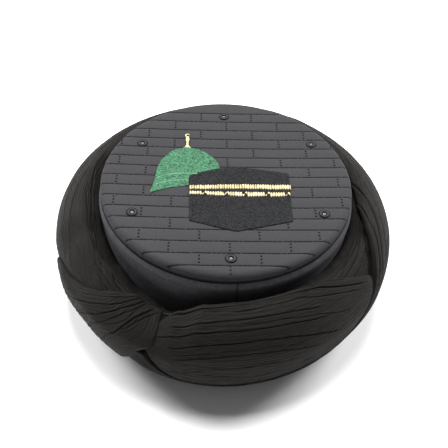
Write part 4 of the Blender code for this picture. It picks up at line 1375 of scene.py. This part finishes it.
class TURBAN_OT_ring(bpy.types.Operator):
    """Make the padded ring of the first turns of cloth"""

    bl_idname = "turban.ring"
    bl_label = "First turns"

    def execute(self, context):
        """Shape the ring round the cap's side with its long folds and small pleats."""
        settings = context.scene.turban_wrap
        spans = crease_spans(RING_CREASES, 0)
        stations = {}

        def place(share_round, share_over):
            azimuth = -180.0 + 360.0 * share_round
            if share_over > RING_OUTER_SHARE:
                share = (share_over - RING_OUTER_SHARE) / (1.0 - RING_OUTER_SHARE)
                foot = skin_point(azimuth, RING_FOOT_ANGLE, bed_lift(azimuth, RING_FOOT_ANGLE)).z
                lip = skin_point(azimuth, 90.0, bed_lift(azimuth, 90.0)).z
                height = mix(lip, foot, ease(share))
                reach = side_radius(height) + WRAP_CLEARANCE
                turn = math.radians(azimuth)
                if share > 0.999:
                    return skin_point(azimuth, RING_FOOT_ANGLE, 0.0), 0.0
                # Painted shade on the ring's inner side against the cap
                return Vector((reach * math.sin(turn), -reach * math.cos(turn), height)), 0.6
            base = mix(RING_FOOT_ANGLE, 90.0, share_over / RING_OUTER_SHARE)
            angle = slanted(base, azimuth)
            moved, dark = creased(marks_at(stations, spans, azimuth, 0, 3.0), angle)
            swell, crease = self.small_pleats(settings, azimuth, base)
            depth = settings.pleat_depth
            calm = self.calmness(azimuth, base)
            fade = clamp((base - RING_FOOT_ANGLE) / 12.0) * clamp((90.0 - base) / 3.0)
            lift = bed_lift(azimuth, angle) + fade * (moved + calm * depth * (0.5 * swell - crease))
            # Painted shade in the creases and small pleats
            return skin_point(azimuth, angle, lift), clamp(max(dark, 0.8 * calm * crease) * fade)

        mesh = warped_grid(*RING_GRID, RING_MAP, place)
        close_up(mesh)
        finish = bpy.data.materials.get("pleated_cloth") or wrap_material(settings)
        ring = settle(mesh, "wound_ring", finish)
        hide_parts("wrap_ring")
        return {"FINISHED"}

    def small_pleats(self, settings, azimuth, base):
        """Small pleats of the ring, the same on both sides of its seam at the back."""
        run = PLEAT_RUN * azimuth
        over = PLEAT_OVER * (base + 100.0)
        swell, crease = pleats(run, over, settings.pleat_pitch, RING_SEED)
        if azimuth > SEAM_FROM_DEG:
            share = (azimuth - SEAM_FROM_DEG) / SEAM_RUN_DEG
            other = pleats(run - PLEAT_ROUND, over, settings.pleat_pitch, RING_SEED)
            swell, crease = mix(swell, other[0], share), mix(crease, other[1], share)
        return swell, crease

    def calmness(self, azimuth, base):
        """Share of the small pleats at a place on the ring."""
        left = table_value(RING_CALM, 0, 1, base)
        back = table_value(RING_CALM, 0, 2, base)
        to_left = bell(azimuth - RING_CALM_SIDE, RING_CALM_SPREAD)
        return mix(back, left, to_left)


def rolled(share, rolls):
    """Rise of a pass over its width: it rolls up within a low and a high share of it."""
    first = 1.0 - clamp(share / rolls.low)
    second = 1.0 - clamp((1.0 - share) / rolls.high)
    return math.sqrt(1.0 - first * first) * math.sqrt(1.0 - second * second)


def edges_at(edges, station):
    """Where a pass begins and ends across itself at a station, and its thickness as a share."""
    return [table_value(edges, 0, column, station) for column in (1, 2, 3)]


def side_share(share_over):
    """Whether a share of a pass's round is on its outer side, and its share of the width."""
    outside = share_over <= PASS_OUTER_SHARE
    if outside:
        return outside, share_over / PASS_OUTER_SHARE
    return outside, (1.0 - share_over) / (1.0 - PASS_OUTER_SHARE)


def pass_piece(cloth, settings, finish):
    """A pleated pass of cloth round the ring, closed underneath, beginning under the knot fan."""
    spans = crease_spans(cloth.creases, 0)
    stations = {}
    first = cloth.edges[0].station
    last = cloth.edges[-1].station

    def place(share_round, share_over):
        station = mix(first, last, share_round)
        low, high, body = edges_at(cloth.edges, station)
        outside, share = side_share(share_over)
        angle = mix(low, high, share)
        seat = bed_lift(station, angle) + 0.35 * PASS_GAP
        if not outside:
            # Painted shade on the pass's underside
            return skin_point(station, angle, seat), 0.8
        arch = rolled(share, cloth.rolls)
        body = body * arch
        moved, dark = creased(marks_at(stations, spans, station, 0, 2.5), angle)
        over = PLEAT_OVER * (angle + 100.0)
        swell, crease = pleats(PLEAT_RUN * station, over, settings.pleat_pitch * 0.85, cloth.seed)
        detail = moved + PASS_CALM * settings.pleat_depth * (0.5 * swell - crease)
        lift = seat + body * (PASS_THICKNESS + 0.5 * PASS_GAP) + arch * detail
        # Painted shade in the creases and small pleats and along the rolled edges
        shade = max(dark, 0.8 * PASS_CALM * crease, 0.7 * (1.0 - arch))
        return skin_point(station, angle, lift), clamp(shade)

    mesh = warped_grid(cloth.columns, cloth.rows, cloth.map, place)
    close_up(mesh)
    return settle(mesh, cloth.name, finish)


def fan_piece(settings, finish):
    """The knot's fan: its pleats gather beside the cap and spread downwards round the ring."""
    spans = crease_spans(FAN_CREASES, 1)
    stations = {}
    first = FAN_EDGES[0].station
    last = FAN_EDGES[-1].station

    def place(share_down, share_over):
        station = mix(first, last, share_down)
        left, right, body = edges_at(FAN_EDGES, station)
        outside, share = side_share(share_over)
        azimuth = mix(left, right, share)
        seat = bed_lift(azimuth, station) + 0.35 * FAN_GAP
        if not outside:
            # Painted shade on the fan's underside
            return skin_point(azimuth, station, seat), 0.8
        arch = rolled(share, FAN_ROLLS)
        ends = ease(clamp((station - last) / 6.0))
        moved, dark = creased(marks_at(stations, spans, station, 1, 3.0), azimuth)
        swell, crease = pleats(
            FAN_RUN * station, share * FAN_MAP[1], settings.pleat_pitch * 0.95, FAN_SEED
        )
        beside = clamp((share - PANEL_START) / PANEL_BLEND)
        below = clamp((PANEL_TOP_DEG - station) / PANEL_FADE_DEG)
        panel = ease(beside) * ease(below)
        calm = mix(FAN_CALM, PANEL_CALM, panel)
        detail = moved + calm * settings.pleat_depth * (0.5 * swell - crease)
        thick = arch * mix(0.3, 1.0, ends) * body * (PASS_THICKNESS + 0.5 * PASS_GAP)
        # Painted shade in the creases and pleats, on the smooth panel and along the rolled edge
        shade = max(
            dark, 0.7 * calm * crease, 0.32 * panel, 0.55 * (1.0 - arch) if share > 0.5 else 0.0
        )
        lift = seat + thick + arch * detail * min(body * 2.0, 1.0)
        return skin_point(azimuth, station, lift), clamp(shade)

    mesh = warped_grid(*FAN_GRID, FAN_MAP, place)
    close_up(mesh)
    return settle(mesh, "knot_fan_cloth", finish)


class TURBAN_OT_passes(bpy.types.Operator):
    """Make the front pass, the right pass and the knot fan"""

    bl_idname = "turban.passes"
    bl_label = "Later passes and knot"

    def execute(self, context):
        """Lay the two pleated passes over the ring and the knot's fan over both."""
        settings = context.scene.turban_wrap
        finish = bpy.data.materials.get("pleated_cloth") or wrap_material(settings)
        front = pass_piece(FRONT_PASS, settings, finish)
        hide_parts("wrap_front")
        right = pass_piece(RIGHT_PASS, settings, finish)
        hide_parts("wrap_right")
        fan = fan_piece(settings, finish)
        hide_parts("knot_fan")
        return {"FINISHED"}


class TURBAN_OT_stage(bpy.types.Operator):
    """Set the floor, the soft light and the camera"""

    bl_idname = "turban.stage"
    bl_label = "Stage"

    def execute(self, context):
        """Lay a pale floor, hang soft lamps and look from the photograph's angle."""
        settings = context.scene.turban_stage
        mesh = bmesh.new()
        bmesh.ops.create_grid(mesh, x_segments=1, y_segments=1, size=FLOOR_SIZE)
        paint = Paint("floor_card", Specular_IOR_Level=0.2, Roughness=0.8)
        cloudy = paint.grain(paint.object_place(), 3.0)
        pale = full(settings.floor_colour)
        paint.feed("Base Color", paint.tone(cloudy, full(settings.floor_colour, 0.99), pale))
        data = bpy.data.meshes.new("floor")
        mesh.to_mesh(data)
        mesh.free()
        data.materials.append(paint.material)
        floor = bpy.data.objects.new("floor", data)
        context.scene.collection.objects.link(floor)
        world = context.scene.world or bpy.data.worlds.new("studio")
        context.scene.world = world
        world.use_nodes = True
        sky = world.node_tree.nodes["Background"]
        sky.inputs["Color"].default_value = (1.0, 1.0, 1.0, 1.0)
        sky.inputs["Strength"].default_value = settings.sky
        self.hang("overhead", OVERHEAD_PLACE, OVERHEAD_SIZE, settings.lamp)
        self.hang("left_side", LEFT_PLACE, SIDE_LAMP_SIZE, settings.side_lamps)
        self.hang("right_side", RIGHT_PLACE, SIDE_LAMP_SIZE, settings.side_lamps)
        context.scene.view_settings.view_transform = "Standard"
        self.look(context, settings)
        return {"FINISHED"}

    def hang(self, name, place, size, energy):
        """A square soft lamp aimed at the turban."""
        lamp = bpy.data.lights.new(name, "AREA")
        lamp.size = size
        lamp.energy = energy
        item = bpy.data.objects.new(name, lamp)
        item.location = place
        item.rotation_euler = (
            (Vector(LAMP_TARGET) - Vector(place)).to_track_quat("-Z", "Y").to_euler()
        )
        bpy.context.scene.collection.objects.link(item)

    def look(self, context, settings):
        """The camera at the photograph's angle."""
        data = bpy.data.cameras.new("camera")
        data.sensor_width = SENSOR_WIDTH
        data.lens = settings.lens
        data.clip_start = 0.01
        data.clip_end = 20.0
        camera = bpy.data.objects.new("camera", data)
        turn = Matrix((CAMERA_RIGHT, CAMERA_UP, CAMERA_BACK)).transposed()
        camera.rotation_mode = "QUATERNION"
        camera.rotation_quaternion = turn.to_quaternion()
        camera.location = CAMERA_PLACE
        context.scene.collection.objects.link(camera)
        context.scene.camera = camera


class TURBAN_PT_dress(bpy.types.Panel):
    """The turban's pieces in the sidebar"""

    bl_label = "Wound turban"
    bl_idname = "TURBAN_PT_dress"
    bl_space_type = "VIEW_3D"
    bl_region_type = "UI"
    bl_category = "Turban"

    def draw(self, context):
        """List the settings of each group and its operators."""
        scene = context.scene
        for label, settings, operators in (
            ("Cap", scene.turban_cap, ("turban.crown", "turban.side", "turban.eyelets")),
            ("Embroidery", scene.turban_embroidery, ("turban.embroidery",)),
            ("Cloth", scene.turban_wrap, ("turban.ring", "turban.passes")),
            ("Stage", scene.turban_stage, ("turban.stage",)),
        ):
            box = self.layout.box()
            box.label(text=label)
            for name in settings.__annotations__:
                box.prop(settings, name)
            for operator in operators:
                box.operator(operator)


CLASSES = (
    CapSettings,
    EmbroiderySettings,
    WrapSettings,
    StageSettings,
    TURBAN_OT_crown,
    TURBAN_OT_side,
    TURBAN_OT_eyelets,
    TURBAN_OT_embroidery,
    TURBAN_OT_ring,
    TURBAN_OT_passes,
    TURBAN_OT_stage,
    TURBAN_PT_dress,
)


def register():
    """Register the classes and hang the settings on the scene."""
    for item in CLASSES:
        bpy.utils.register_class(item)
    bpy.types.Scene.turban_cap = bpy.props.PointerProperty(type=CapSettings)
    bpy.types.Scene.turban_embroidery = bpy.props.PointerProperty(type=EmbroiderySettings)
    bpy.types.Scene.turban_wrap = bpy.props.PointerProperty(type=WrapSettings)
    bpy.types.Scene.turban_stage = bpy.props.PointerProperty(type=StageSettings)


def unregister():
    """Take the settings and the classes away again."""
    del bpy.types.Scene.turban_stage
    del bpy.types.Scene.turban_wrap
    del bpy.types.Scene.turban_embroidery
    del bpy.types.Scene.turban_cap
    for item in reversed(CLASSES):
        bpy.utils.unregister_class(item)


def main():
    """Dress the whole turban and set the stage."""
    register()
    bpy.ops.turban.crown()
    bpy.ops.turban.side()
    bpy.ops.turban.eyelets()
    bpy.ops.turban.embroidery()
    bpy.ops.turban.ring()
    bpy.ops.turban.passes()
    bpy.ops.turban.stage()


if __name__ == "__main__":
    main()
